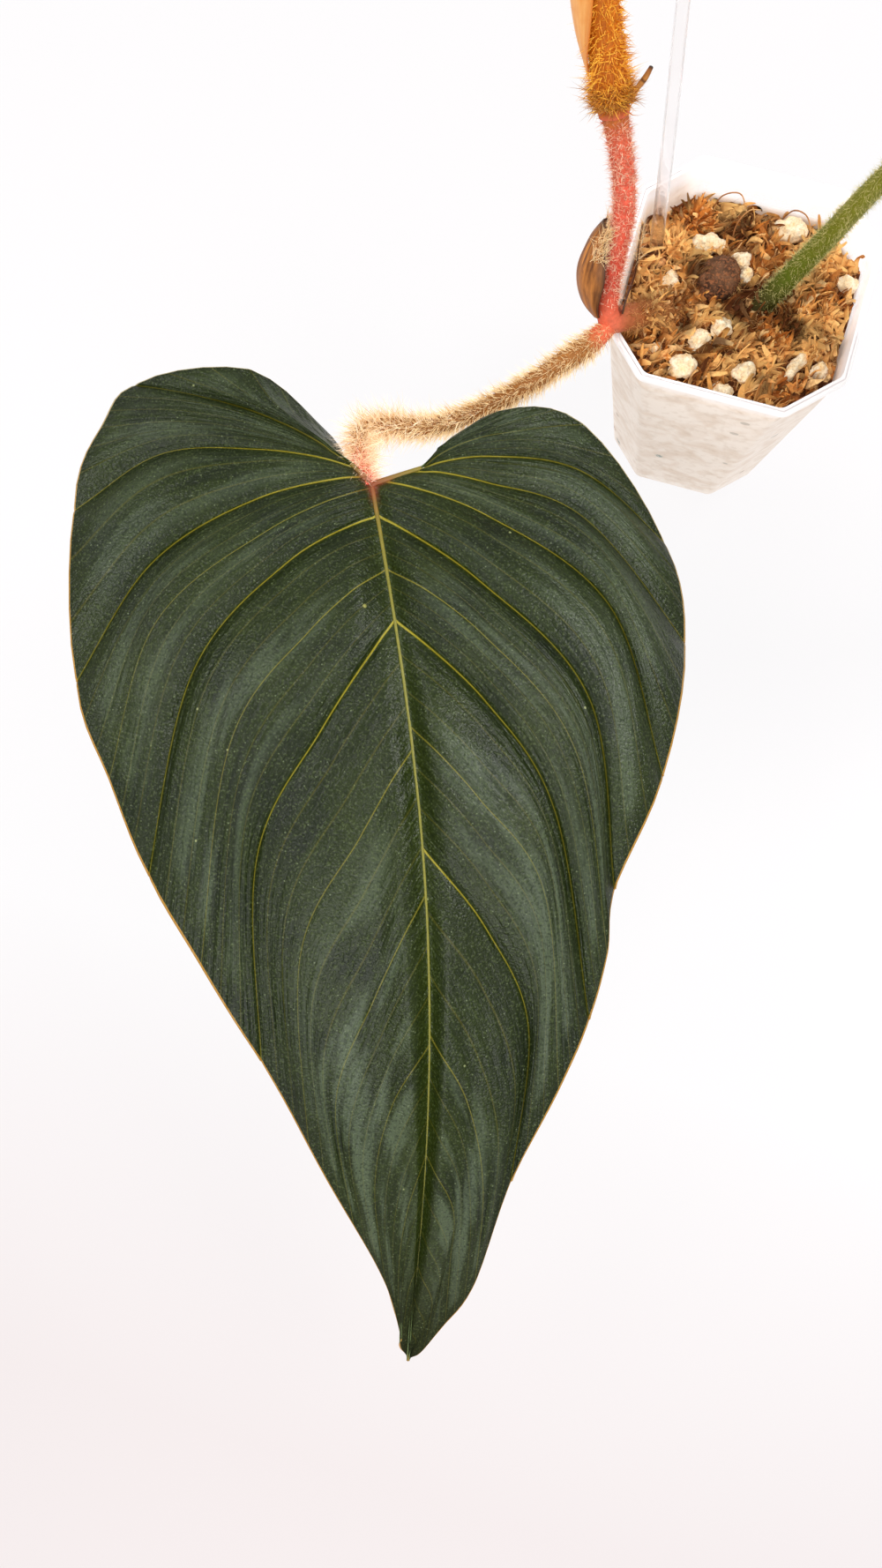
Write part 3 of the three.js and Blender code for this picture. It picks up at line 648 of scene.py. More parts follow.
# Painted shade darkens the hollows by the strong veins, and a painted sheen lightens the ridges in soft
# bands, stronger down the leaf
ridge = attribute(tree, "ridge")
bands = streak_noise(tree, 2.6, 2.2, Detail=3.0)
painted_sheen = math_node(tree, "MULTIPLY", mask(tree, ridge, 0.3, 0.95), mask(tree, bands, 0.44, 0.62))
painted_sheen_strength = remap(tree, attribute(tree, "ahead"), 0.15, 0.6, 0.24, 0.48)
tone = tinted(tree, tone, mask(tree, ridge, 0.55, 0.0), 0.4, LEAF_PAINTED_SHADE)
tone = tinted(tree, tone, painted_sheen, painted_sheen_strength, LEAF_PAINTED_SHEEN)

olive = math_node(tree, "MAXIMUM", attribute(tree, "groove"), attribute(tree, "rib"))
tone = tinted(tree, tone, olive, 0.7, LEAF_OLIVE)
by_tip = mask(tree, attribute(tree, "ahead"), 0.8, 1.0)
tone = tinted(tree, tone, by_tip, 0.8, LEAF_TIP)

pebble_cells = node(tree, "TexVoronoi", {"Vector": where, "Scale": PEBBLE}).outputs["Distance"]
pebble_noise = node(tree, "TexNoise", {"Vector": where, "Scale": PEBBLE * 1.1, "Detail": 1.5}).outputs["Fac"]
pebbles = math_node(tree, "MULTIPLY_ADD", pebble_cells, -0.45, pebble_noise)
# Painted glints on the pebbles' tops and painted shade in the gaps between them
tone = tinted(tree, tone, mask(tree, pebbles, 0.34, 0.5), 0.3, PEBBLE_PAINTED_GLINT)
tone = tinted(tree, tone, mask(tree, pebbles, 0.24, 0.06), 0.5, PEBBLE_PAINTED_SHADE)
# The first kind of speck is a painted glint on the pebbles, the others are the leaf's own pale and yellow
# specks
for scale, size, left_out, strength, colour in SPECKS_AND_PAINTED_GLINTS:
    distance, chance = cell_field(tree, where, scale)
    kept = math_node(tree, "GREATER_THAN", chance, left_out)
    speck = math_node(tree, "MULTIPLY", mask(tree, distance, size, 0.5 * size), kept)
    tone = tinted(tree, tone, speck, strength, colour)

fine = math_node(tree, "PINGPONG", math_node(tree, "MULTIPLY", across, FINE_VEINS), 0.5)
tone = tinted(tree, tone, mask(tree, fine, 0.04, 0.012), 0.1, VEIN_COLOUR)
red = mask(tree, attribute(tree, "sinus"), 0.45, 0.95)
vein_tone = tinted(tree, VEIN_COLOUR, red, 0.8, RIB_BROWN)
tone = tinted(tree, tone, attribute(tree, "vein"), 1.15, vein_tone)
by_rib = mask(tree, attribute(tree, "rib"), 0.5, 0.9)
tone = tinted(tree, tone, math_node(tree, "MULTIPLY", red, by_rib), 0.85, RIB_BROWN)
edge = math_node(tree, "GREATER_THAN", along, 0.9945)
tone = blend(tree, edge, tone, blend(tree, mask(tree, across, 1.5, 5.0), MARGIN_PALE, MARGIN_ORANGE))

pebble_bump = node(tree, "Bump", {"Height": pebbles, "Distance": 0.0004, "Strength": 0.55})
streak_bump = node(tree, "Bump", {
    "Height": streaks, "Distance": 0.0015, "Strength": 0.7, "Normal": pebble_bump.outputs[0]})
fill(tree, shader, {
    "Base Color": tone, "Normal": streak_bump.outputs[0],
    "Roughness": remap(tree, by_tip, low=SATIN, high=DULL),
})

blade_under, tree, shader = new_material("blade_under", 0.55)
tone = blend(tree, blotches(tree, 90), rgb(92, 112, 62), rgb(112, 130, 78))
tone = tinted(tree, tone, attribute(tree, "vein"), 0.8, rgb(190, 190, 110))
fill(tree, shader, {"Base Color": tone})
roughen(tree, shader, 1200, 0.0002)

blade_edge, tree, shader = new_material("blade_edge", 0.5)
tone = blend(tree, mask(tree, attribute(tree, "across"), 1.5, 5.0), rgb(206, 196, 168), rgb(190, 140, 66))
tone = tinted(tree, tone, blotches(tree, 120), 0.5, rgb(150, 140, 70))
fill(tree, shader, {"Base Color": tone})

rib_skin, tree, shader = new_material("rib_skin", 0.45)
tone = ramp(tree, attribute(tree, "sinus"), [
    (0.0, rgb(126, 120, 36)), (0.22, rgb(128, 116, 36)), (0.42, rgb(130, 108, 36)), (0.7, rgb(136, 84, 36)),
    (1.0, rgb(142, 54, 34)),
])
tone = tinted(tree, tone, blotches(tree, 400), 0.3, rgb(84, 92, 20))
fill(tree, shader, {"Base Color": tone})
roughen(tree, shader, 1500, 0.0001)
print("leaf materials: top, underside, edge and ribs")

# %% [markdown]
# ## The two blades
# Both leaves are the same build at two sizes and in two places: a big one that hangs forward, and a smaller,
# mirrored one on the right. Each half is a grid laid on the guides. A Solidify modifier gives the sheet its
# thickness, with its own materials for the underside and the rim. A rod along the midrib joins the halves.

# %% Blades
BLADE_THICKNESS = 0.6 * MM
RIB_SUNK = 0.3


def leaf_placement(sinus, heading, pitch, scale, mirror):
    turned = Matrix.Rotation(heading, 4, "Z") @ Matrix.Rotation(pitch, 4, "Y")
    size = Matrix.Diagonal((scale * MM, (-scale if mirror else scale) * MM, scale * MM, 1))
    return Matrix.Translation(Vector(sinus) * MM) @ turned @ size


def placed(points, placement):
    matrix = np.array(placement)
    return points @ matrix[:3, :3].T + matrix[:3, 3]


def rib_rod(name, stations, heading, radii, placement, scale):
    """A rod laid in the blade along its rib, thick enough to show above and below."""
    plan = rib_point(stations, heading)
    height = blade_height(plan[:, 0], plan[:, 1]) - MIDRIB_GROOVE - RIB_SUNK
    points = placed(np.column_stack([plan, height]), placement)
    piece = rod(name, np.column_stack([points, np.asarray(radii) * scale * MM]), sides=2)
    shares = [value.value for value in piece.data.attributes["along"].data]
    far = np.interp(shares, np.linspace(0, 1, len(plan)), np.linalg.norm(plan, axis=1))
    write_values(piece.data, "sinus", np.exp(-far / SINUS_REACH))
    return piece


def blade(name, node_name, placing, columns):
    placement = leaf_placement(**placing)
    halves = []
    for guides, heading, veins, left in (
        (RIGHT_GUIDES, RIGHT_RIB, RIGHT_VEINS, False), (LEFT_GUIDES, LEFT_RIB, LEFT_VEINS, True),
    ):
        points, values = half_blade(guides, heading, veins, left, columns)
        half = grid_piece(name + "_half", placed(points, placement), values)
        tidy_mesh(half, upward=True)
        halves.append(half)
    sheet = join(name, halves)
    for material in (blade_top, blade_under, blade_edge):
        sheet.data.materials.append(material)
    modify(sheet, "SOLIDIFY", thickness=BLADE_THICKNESS, offset=-1, material_offset=1, material_offset_rim=2)
    stations = np.linspace(0, 284, 90)
    scale = placing["scale"]
    radii = np.interp(stations, [0, 40, 200, 284], [0.9, 0.62, 0.44, 0.24])
    ribs = [rib_rod("midrib", stations, RIGHT_RIB, radii, placement, scale)]
    for heading, length in ((RIGHT_RIB, 17), (LEFT_RIB, 10)):
        bare = np.linspace(-length, 0.5, 12)
        radii = np.interp(bare, [-length, 0], [0.75, 1.1])
        ribs.append(rib_rod("bare_rib", bare, heading, radii, placement, scale))
    for rib in ribs:
        rib.data.materials.append(rib_skin)
    settle(join(name, [sheet, *ribs]), "blade", nodes=[node_name], smooth=60)


big_leaf = dict(sinus=(-98.7, -125.1, 160), heading=-1.2512, pitch=0, scale=0.998, mirror=False)
second_leaf = dict(sinus=(100, -7, 278.2), heading=-0.12, pitch=0.62, scale=0.698, mirror=True)
blade("big_blade", "leaf_blade", big_leaf, 92)
blade("second_blade", "second_leaf_blade", second_leaf, 50)

# %% [markdown]
# ## Hair by the thousand
# Every stalk of this plant is furry, and its outline is as much hair as stalk. A particle system could grow
# the hair, but it would be lost when the plant leaves this program, so each hair is real mesh. One hair is a
# slim three-sided cone, cut across so that it can bend. It is then copied to thousands of places, each copy
# with its own lean, bend, length and tone, and shortened where a leaf is in its way.

# %% Copying a small model
from mathutils.bvhtree import BVHTree


def take_model(piece):
    """The points and triangles of a small model, which is then removed from the scene."""
    activate(piece)
    bpy.ops.object.mode_set(mode="EDIT")
    bpy.ops.mesh.select_all(action="SELECT")
    bpy.ops.mesh.quads_convert_to_tris()
    bpy.ops.object.mode_set(mode="OBJECT")
    points = np.array([vertex.co for vertex in piece.data.vertices])
    faces = np.array([face.vertices for face in piece.data.polygons])
    bpy.data.objects.remove(piece)
    return points, faces


def unit(vectors):
    return vectors / np.linalg.norm(vectors, axis=-1, keepdims=True)


def scatter(name, model, origins, axes, sizes, bends, tones, facing=None):
    """One mesh of many copies of a model that stands on the origin along Z, its thin side along Y."""
    points, faces = model
    up = unit(axes)
    if facing is None:
        facing = np.roll(up, 1, axis=1) + 0.1
    wide = unit(np.cross(facing, up))
    thin = np.cross(up, wide)
    local = points[None] * sizes[:, None, :]
    spots = origins[:, None] + bends[:, None] * points[None, :, 2:3] ** 2
    for axis, way in enumerate((wide, thin, up)):
        spots = spots + local[..., axis:axis + 1] * way[:, None]
    count, each = len(origins), len(points)
    triangles = (faces[None] + each * np.arange(count)[:, None, None]).reshape(-1)
    mesh = bpy.data.meshes.new(name)
    mesh.vertices.add(count * each)
    mesh.vertices.foreach_set("co", spots.reshape(-1))
    mesh.loops.add(len(triangles))
    mesh.loops.foreach_set("vertex_index", triangles)
    mesh.polygons.add(len(triangles) // 3)
    mesh.polygons.foreach_set("loop_start", np.arange(0, len(triangles), 3))
    mesh.update(calc_edges=True)
    write_values(mesh, "tone", np.repeat(tones, each))
    write_values(mesh, "tip", np.tile(points[:, 2], count))
    piece = bpy.data.objects.new(name, mesh)
    bpy.context.scene.collection.objects.link(piece)
    return piece


def hair_model(cuts):
    """A hair of unit height and unit radius: a three-sided cone, cut across at some heights."""
    clear_selection()
    bpy.ops.mesh.primitive_cone_add(vertices=3, radius1=1, radius2=0, depth=1, location=(0, 0, 0.5))
    piece = bpy.context.object
    bpy.ops.object.transform_apply(location=True)
    bpy.ops.object.mode_set(mode="EDIT")
    for height in cuts:
        bpy.ops.mesh.select_all(action="SELECT")
        bpy.ops.mesh.bisect(plane_co=(0, 0, height), plane_no=(0, 0, 1))
    bpy.ops.object.mode_set(mode="OBJECT")
    return take_model(piece)


def solid_tree(*nodes):
    """A search tree over frame nodes, to find what a hair would run into."""
    spots, faces = [], []
    for name in nodes:
        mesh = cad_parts[name].data
        faces += [[index + len(spots) for index in face.vertices] for face in mesh.polygons]
        spots += [vertex.co.copy() for vertex in mesh.vertices]
    return BVHTree.FromPolygons(spots, faces)


soft_hair = hair_model([0.45])
curly_hair = hair_model([0.3, 0.65])
blade_tree = solid_tree("leaf_blade", "second_leaf_blade")
print(f"hair models: {len(soft_hair[1])} and {len(curly_hair[1])} triangles")

# %% Hair coats
HAIR_SUNK = 0.94
LOOK_AHEAD = 1.3
BLOCKED_SHARE = 0.75


def hair_coat(name, slot, material, points, count, where, length, width,
              lean, mess, curl, seed, model=soft_hair):
    """A coat of hair on a stalk. where and length are (places, values) along it, in millimetres."""
    rng = np.random.default_rng(seed)
    fine = np.linspace(0, 1, 400)
    share = np.cumsum(np.interp(fine, *where))
    at = np.interp(rng.random(count), share / share[-1], fine)
    row = at * (len(points) - 1)
    centre = spline(points[:, :3], row)
    radius = np.interp(row, np.arange(len(points)), points[:, 3])
    tangent = unit(spline(points[:, :3], row + 0.5) - spline(points[:, :3], row - 0.5))
    across = unit(np.cross(tangent, [0.13, 0.2, 1.0]))
    above = np.cross(tangent, across)
    around = rng.uniform(0, 2 * math.pi, count)[:, None]
    normal = np.cos(around) * across + np.sin(around) * above
    axes = unit(normal + lean * tangent + mess * rng.normal(0, 1, (count, 3)))
    size = np.interp(at, length[0], np.array(length[1]) * MM) * rng.uniform(0.5, 1.1, count)
    width = width * MM
    origins = centre + normal * radius[:, None] * HAIR_SUNK
    for i in range(count):
        hit = blade_tree.ray_cast(Vector(origins[i]), Vector(axes[i]), size[i] * LOOK_AHEAD)[3]
        if hit is not None:
            size[i] = max(hit * BLOCKED_SHARE, width)
    bends = curl * size[:, None] * rng.normal(0, 1, (count, 3))
    thick = width * rng.uniform(0.7, 1.2, count)
    sizes = np.column_stack([thick, thick, size])
    settle(scatter(name, model, origins, axes, sizes, bends, rng.random(count)), slot, [material])


def hair_finish(name, dark, light, roughness=0.55, glow=0.0, by_tip=0.45):
    """Hair from dark at its foot to light at its tip, each hair in its own tone, with a painted glow where
    glow is given.
    """
    material, tree, shader = new_material(name, roughness, Specular_IOR_Level=0.25)
    strand = math_node(tree, "MULTIPLY", math_node(tree, "POWER", attribute(tree, "tone"), 1.4), 1.1)
    shade = math_node(tree, "ADD", math_node(tree, "MULTIPLY", attribute(tree, "tip"), by_tip),
                      math_node(tree, "MULTIPLY", strand, 1 - by_tip), clamp=True)
    colour = blend(tree, shade, dark, light)
    fill(tree, shader, {"Base Color": colour})
    # Painted glow: the hair gives off light in its own colour, standing in for light shining through it
    if glow:
        fill(tree, shader, {"Emission Color": colour})
        shader.inputs["Emission Strength"].default_value = glow
    return material


# %% [markdown]
# ## The big leaf's petiole
# The petiole is a brown stalk in a dense coat of tan fur that is combed towards the leaf. Where the stalk
# turns under the blade the fur is longer, cream and ruffled, and a few pink hairs stand at the leaf's sinus.
# The stalk itself hardly shows, so it gets a plain fibrous skin, and the work goes into three coats of hair.

# %% Petiole
PETIOLE = [
    (-41, -30, 121, 3.2), (-46.7, -42.7, 125, 3.7), (-57.6, -59.8, 131, 3.1), (-69.5, -76.8, 137, 2.9),
    (-88, -95.1, 144, 2.8), (-101.5, -100.8, 148.5, 2.8), (-108.5, -106, 151, 2.8),
    (-106.6, -115, 153.7, 2.7), (-99.5, -126, 156.6, 2.4),
]
SALMON = rgb(228, 112, 80)


def stalk_finish(name, stops, streak=0.35, roughness=0.6):
    """A stalk's skin: colours along it, with darker fibres that run its length."""
    material, tree, shader = new_material(name, roughness, Specular_IOR_Level=0.3)
    colour = ramp(tree, attribute(tree, "along"), stops)
    dark = blend(tree, 1.0, colour, (0.45, 0.4, 0.35, 1), "MULTIPLY")
    colour = tinted(tree, colour, blotches(tree, 700), streak, dark)
    fill(tree, shader, {"Base Color": colour})
    roughen(tree, shader, 1400, 0.0003)
    return material


petiole_line = route(np.array(PETIOLE) * MM, 150)
petiole = rod("petiole_stalk", petiole_line)
petiole_skin = stalk_finish("petiole_skin", [
    (0.0, SALMON), (0.08, rgb(232, 110, 74)), (0.14, rgb(166, 108, 50)), (0.6, rgb(140, 88, 38)),
    (0.86, rgb(170, 118, 66)), (0.95, rgb(215, 104, 72)), (1.0, rgb(200, 70, 50)),
])
settle(petiole, "petiole", [petiole_skin], ["petiole"])

hair_coat(
    "petiole_fur", "petiole",
    hair_finish("tan_fur", rgb(160, 106, 40), rgb(255, 240, 196), glow=0.42, by_tip=0.5),
    petiole_line, 4000, ([0, 0.05, 0.12, 0.62, 0.75, 0.9, 1], [0.1, 0.35, 1, 1, 0.7, 0.3, 0]),
    ([0, 0.1, 0.55, 0.7, 0.9, 1], [1.8, 5.4, 5.6, 7.0, 6.8, 3.4]), 0.13,
    lean=1.1, mess=0.28, curl=0.12, seed=11,
)
hair_coat(
    "elbow_fur", "petiole",
    hair_finish("cream_fur", rgb(196, 152, 98), rgb(255, 246, 222), glow=0.4, by_tip=0.4),
    petiole_line, 2000, ([0, 0.5, 0.68, 0.8, 0.94, 1], [0, 0, 0.6, 1.6, 1.6, 0.6]),
    ([0, 0.6, 0.8, 0.93, 1], [5.5, 6.5, 8.8, 7.8, 3.6]), 0.13, lean=0.5, mess=0.35, curl=0.2, seed=13,
)
hair_coat(
    "sinus_fur", "petiole", hair_finish("pink_fur", rgb(224, 96, 72), rgb(255, 234, 208), glow=0.2),
    petiole_line, 900, ([0, 0.86, 0.93, 1], [0, 0, 1, 1.6]),
    ([0, 1], [3.6, 3.6]), 0.1, lean=0.2, mess=0.45, curl=0.2, seed=12,
)

# %% [markdown]
# ## Stem
# The stem lies on the mix as an old brown fuzzy rhizome, comes up to a smooth salmon node on the pot's
# corner, and turns up as the young pink internode, under short pale hair. One rod along the whole route
# keeps the turn smooth, and colours along the route tell old from new.

# %% Stem
def cloud_texture(name, scale):
    cloud = bpy.data.textures.new(name, "CLOUDS")
    cloud.noise_scale = scale
    return cloud


def crumple(piece, cloud, strength):
    """Pushes a piece's surface in and out by a cloud texture."""
    modify(piece, "DISPLACE", texture=cloud, texture_coords="GLOBAL", strength=strength, mid_level=0.5)


STEM = [
    (12, -3, 90, 4.2), (-2, -5, 97, 4.8), (-14, -9, 100.5, 5.2), (-25, -14.5, 109, 5.2), (-36, -25, 118, 4.6),
    (-42.5, -31.5, 124, 4.2), (-45, -26, 134, 3.4), (-45.8, -18, 144, 3.4), (-46.5, -10, 152, 3.6),
    (-49.5, -2, 159, 3.6), (-53.5, 4.5, 166, 3.7), (-57, 9.5, 171, 4.6),
]
stem_line = route(np.array(STEM) * MM, 200)
stem = rod("stem_stalk", stem_line, sides=6)
modify(stem, "SUBSURF", levels=1, render_levels=1)
wrinkle = cloud_texture("wrinkle", 0.003)
crumple(stem, wrinkle, 0.0006)
stem_skin = stalk_finish("stem_skin", [
    (0.0, rgb(112, 64, 30)), (0.4, rgb(158, 96, 46)), (0.49, rgb(186, 100, 60)), (0.53, SALMON),
    (0.62, rgb(212, 76, 54)), (0.85, rgb(222, 94, 68)), (0.95, rgb(214, 98, 66)), (1.0, rgb(186, 106, 34)),
])
settle(stem, "stem", [stem_skin], ["stem"])

hair_coat(
    "internode_down", "stem",
    hair_finish("pink_down", rgb(202, 74, 44), rgb(255, 230, 198), glow=0.06, by_tip=0.25),
    stem_line, 3000, ([0, 0.56, 0.62, 0.95, 1], [0, 0, 1, 1, 0.3]),
    ([0, 0.6, 1], [1.3, 2.0, 2.3]), 0.18, lean=0.3, mess=0.6, curl=0.35, seed=21,
)
hair_coat(
    "internode_hairs", "stem", hair_finish("internode_fringe", rgb(206, 126, 96), rgb(250, 212, 184)),
    stem_line, 1100, ([0, 0.57, 0.65, 0.97, 1], [0, 0, 1, 1, 0]),
    ([0, 1], [3.6, 3.6]), 0.06, lean=0.1, mess=0.25, curl=0.2, seed=22,
)
hair_coat(
    "rhizome_fuzz", "stem",
    hair_finish("brown_fuzz", rgb(142, 78, 30), rgb(246, 186, 116), 0.8, by_tip=0.25),
    stem_line, 2800, ([0, 0.2, 0.28, 0.42, 0.5, 1], [0, 0, 1, 1, 0, 0]),
    ([0, 1], [2.4, 2.4]), 0.12, lean=0.2, mess=0.8, curl=0.5, seed=23,
)

# %% [markdown]
# ## New shoot
# Above the upper node the newest petiole is still short, thick and orange, and its bristles curl like a wire
# brush. A ragged cuff of brown bristles rings its foot. The same hair tool makes it, with a curlier model,
# shorter lengths and more mess.

# %% New shoot
SHOOT = [
    (-57.1, 9.7, 171.2, 5.2), (-61.9, 15.5, 182, 5.7), (-65.6, 21, 191, 5.5), (-69.4, 26.5, 201, 5.0),
    (-73.7, 33, 213, 4.2), (-77.5, 39, 224, 3.5),
]
shoot_line = route(np.array(SHOOT) * MM, 120)
shoot = rod("shoot_stalk", shoot_line, sides=6)
modify(shoot, "SUBSURF", levels=1, render_levels=1)
crumple(shoot, wrinkle, 0.0008)
shoot_skin = stalk_finish("shoot_skin", [
    (0.0, SALMON), (0.04, rgb(176, 90, 4)), (0.5, rgb(200, 110, 8)), (1.0, rgb(212, 126, 28)),
])
settle(shoot, "new_petiole", [shoot_skin], ["new_petiole"])
hair_coat(
    "shoot_bristles", "new_petiole",
    hair_finish("orange_bristle", rgb(186, 94, 0), rgb(255, 202, 76), glow=0.16, by_tip=0.22),
    shoot_line, 3300, ([0, 0.05, 0.08, 0.3, 1], [0, 0.3, 1.5, 1, 1]),
    ([0, 0.15, 0.4, 1], [4.6, 4.2, 3.4, 2.8]), 0.21, lean=-0.05, mess=0.5, curl=0.35, seed=31,
    model=curly_hair,
)
hair_coat(
    "shoot_cuff", "new_petiole",
    hair_finish("brown_bristle", rgb(140, 76, 12), rgb(232, 168, 84), by_tip=0.2),
    shoot_line, 600, ([0, 0.045, 0.06, 0.16, 1], [0, 0, 1, 0, 0]),
    ([0, 1], [5.2, 5.2]), 0.19, lean=0.35, mess=0.45, curl=0.4, seed=32, model=curly_hair,
)

# %% [markdown]
# ## Green petiole
# The second leaf stands on an older, greener petiole. Its hair is short, pale and even, so that it looks like
# felt, and its foot is dark where it leaves the mix.

# %% Green petiole
GREEN_PETIOLE = [
    (6, -4, 96, 4.4), (9, -0.5, 104, 3.9), (15, 5.5, 117, 3.9), (22, 9.2, 138, 3.7), (29, 9.5, 168, 3.4),
    (38, 7, 202, 3.2), (52, 3, 236, 3.0), (71, -1.5, 262, 2.7), (89, -5, 274.2, 2.5), (99, -7, 276.3, 2.2),
]
green_line = route(np.array(GREEN_PETIOLE) * MM, 220)
green = rod("green_stalk", green_line, sides=5)
green_skin = stalk_finish("green_skin", [
    (0.0, rgb(58, 40, 18)), (0.06, rgb(66, 60, 12)), (0.12, rgb(92, 106, 14)), (0.3, rgb(126, 128, 26)),
    (0.9, rgb(134, 134, 36)), (1.0, rgb(160, 110, 60)),
])
settle(green, "green_petiole", [green_skin], ["second_petiole"])
hair_coat(
    "green_felt", "green_petiole",
    hair_finish("green_fur", rgb(122, 120, 16), rgb(246, 230, 164), glow=0.12),
    green_line, 9000, ([0, 0.05, 0.1, 1], [0.1, 0.5, 1, 1]),
    ([0, 1], [2.2, 2.4]), 0.095, lean=0.25, mess=0.5, curl=0.3, seed=41,
)

# %% [markdown]
# ## Sheaths
# Each leaf leaves behind the papery sheath that wrapped it. The old one is a brown boat, torn open, with
# darker streaks and a pale tuft at its tip, and a narrow strap hangs beside it. The fresh one at the new
# shoot is smooth and peach-coloured. Each is part of a tube around the stalk, so it is a grid rolled about
# the route, with wavy edges, and then thickened.

# %% Sheaths
SHEATH_THICKNESS = 0.45 * MM


def sheath(name, path, radii, middle, spread, waves, seed):
    """A rolled sheet around a path: radii and half angles along it, and how much its edges wave."""
    rows, columns = 64, 40
    line = route(np.array([(*spot, 0) for spot in path]), rows)[:, :3]
    along = np.linspace(0, 1, rows)
    tangent = unit(np.gradient(line, axis=0))
    outward = np.array([math.cos(middle), math.sin(middle), 0.0])
    outward = unit(outward - tangent * (tangent @ outward)[:, None])
    sideways = np.cross(tangent, outward)
    radius = spline([[r] for r in radii], along * (len(radii) - 1))
    half = spline([[turn] for turn in spread], along * (len(spread) - 1))
    side = np.linspace(-1, 1, columns)[None]
    rng = np.random.default_rng(seed)
    phases = rng.uniform(0, 2 * math.pi, 6)
    edge = np.abs(side) ** 3
    wave = sum(np.sin((5 + 3 * i) * along[:, None] + 2.0 * i * side + phases[i]) / (1 + i) for i in range(4))
    pleats = np.sin(16 * side + 2 * np.sin(3 * along[:, None] + phases[5]))
    turn = half * side * (1 + 0.06 * waves * wave * edge)
    depth = radius - waves * (0.35 * edge + 0.25 * edge * wave) + 0.12 * pleats * waves
    depth = np.minimum(depth, radius)
    points = (line[:, None] + outward[:, None] * (depth * np.cos(turn))[..., None]
              + sideways[:, None] * (depth * np.sin(turn))[..., None])
    piece = grid_piece(name, points * MM, {
        "along": np.broadcast_to(along[:, None], turn.shape), "across": np.broadcast_to(side, turn.shape),
    })
    modify(piece, "SOLIDIFY", thickness=SHEATH_THICKNESS, offset=0)
    tidy_mesh(piece)
    return piece


def sheath_finish(name, dark, light, rim, roughness):
    """Papery skin with long streaks, darker at its edges and tip."""
    material, tree, shader = new_material(name, roughness, Specular_IOR_Level=0.35)
    streaks = streak_noise(tree, 7.0, 2.2, Detail=5.0, Roughness=0.6)
    colour = blend(tree, remap(tree, streaks, 0.34, 0.68), dark, light)
    colour = tinted(tree, colour, blotches(tree, 260, 0.5, 0.7), 0.45, dark)
    outer = math_node(tree, "POWER", math_node(tree, "ABSOLUTE", attribute(tree, "across")), 5.0)
    tip = math_node(tree, "POWER", attribute(tree, "along"), 14.0)
    colour = blend(tree, math_node(tree, "MAXIMUM", outer, tip), colour, rim)
    bump = node(tree, "Bump", {"Height": streaks, "Distance": 0.0005, "Strength": 0.6})
    fill(tree, shader, {"Base Color": colour, "Normal": bump.outputs[0]})
    return material


dry = sheath_finish("dry_sheath_skin", rgb(80, 38, 8), rgb(218, 138, 62), rgb(64, 32, 10), 0.5)
boat = sheath(
    "dry_sheath_boat",
    [(-43.5, -30, 126), (-46.5, -26, 131), (-48.5, -21, 137), (-49, -16, 143), (-48, -12, 148)],
    [5.2, 8.6, 9.4, 7.4, 4.8], 3.3, [0.9, 1.35, 1.5, 1.5, 1.3], 1.0, 51,
)
settle(boat, "dry_sheath", [dry], ["dry_sheath"])
strap = sheath(
    "dry_sheath_ribbon",
    [(-43.5, -30, 126), (-44.5, -25, 131), (-44.5, -20, 137), (-45, -14, 143), (-45, -9, 148)],
    [5.2, 6.2, 6.8, 6.4, 5.4], 0.2, [0.35, 0.25, 0.2, 0.22, 0.12], 0.5, 52,
)
settle(strap, "dry_sheath", [dry], ["dry_sheath_strap"])
fresh = sheath(
    "new_sheath_flap", [spot[:3] for spot in SHOOT[1:]],
    [6.4, 8.6, 9.0, 7.4, 5.6], 3.5, [0.16, 0.85, 1.25, 1.1, 0.6], 0.5, 53,
)
settle(fresh, "new_sheath", [sheath_finish(
    "new_sheath_skin", rgb(230, 146, 66), rgb(250, 190, 114), rgb(214, 122, 40), 0.4)], ["new_sheath"])


def tuft(name, spots, axes, length, width, mess, curl, seed, model=curly_hair):
    """Loose hairs that start at given spots."""
    rng = np.random.default_rng(seed)
    count = len(spots)
    ways = unit(np.asarray(axes) + mess * rng.normal(0, 1, (count, 3)))
    size = length * rng.uniform(0.5, 1.2, count)
    thick = np.full(count, width)
    bends = curl * size[:, None] * np.clip(rng.normal(0, 1, (count, 3)), -1.3, 1.3)
    return scatter(name, model, spots, ways, np.column_stack([thick, thick, size]), bends, rng.random(count))


def sample_sheet(piece, count, chosen, seed):
    """Random vertices of a piece whose attribute values pass a test, as an array."""
    along, across = (
        [value.value for value in piece.data.attributes[label].data] for label in ("along", "across"))
    spots = np.array([vertex.co for vertex in piece.data.vertices])
    fit = np.flatnonzero(chosen(np.array(along), np.array(across)))
    return spots[np.random.default_rng(seed).choice(fit, count)]


boat_spots = sample_sheet(boat, 420, lambda along, across: (along > 0.62) & (np.abs(across) > 0.55), 54)
strap_spots = sample_sheet(strap, 200, lambda along, across: along > 0.6, 55)
pale = hair_finish("pale_tuft", rgb(206, 156, 88), rgb(255, 240, 200), glow=0.14)
for name, spots, axis, length, width, mess, seed in (
    ("dry_sheath_tuft", boat_spots, (0.4, 0.2, 0.75), 4.6, 0.13, 0.5, 56),
    ("dry_strap_tuft", strap_spots, (-0.2, 0.1, 0.7), 3.4, 0.09, 0.6, 57),
):
    settle(tuft(name, spots, axis, length * MM, width * MM, mess, 0.4, seed), "dry_sheath", [pale])

# %% [markdown]
# ## Rolled leaf
# At the top of the new petiole the next leaf is still rolled up like a parasol, bronze green and glossy. A
# cone would do from afar, but the real one shows the spiral edge of its blade. So it is a sheet that winds
# round the route one and a half times, tighter towards the tip.

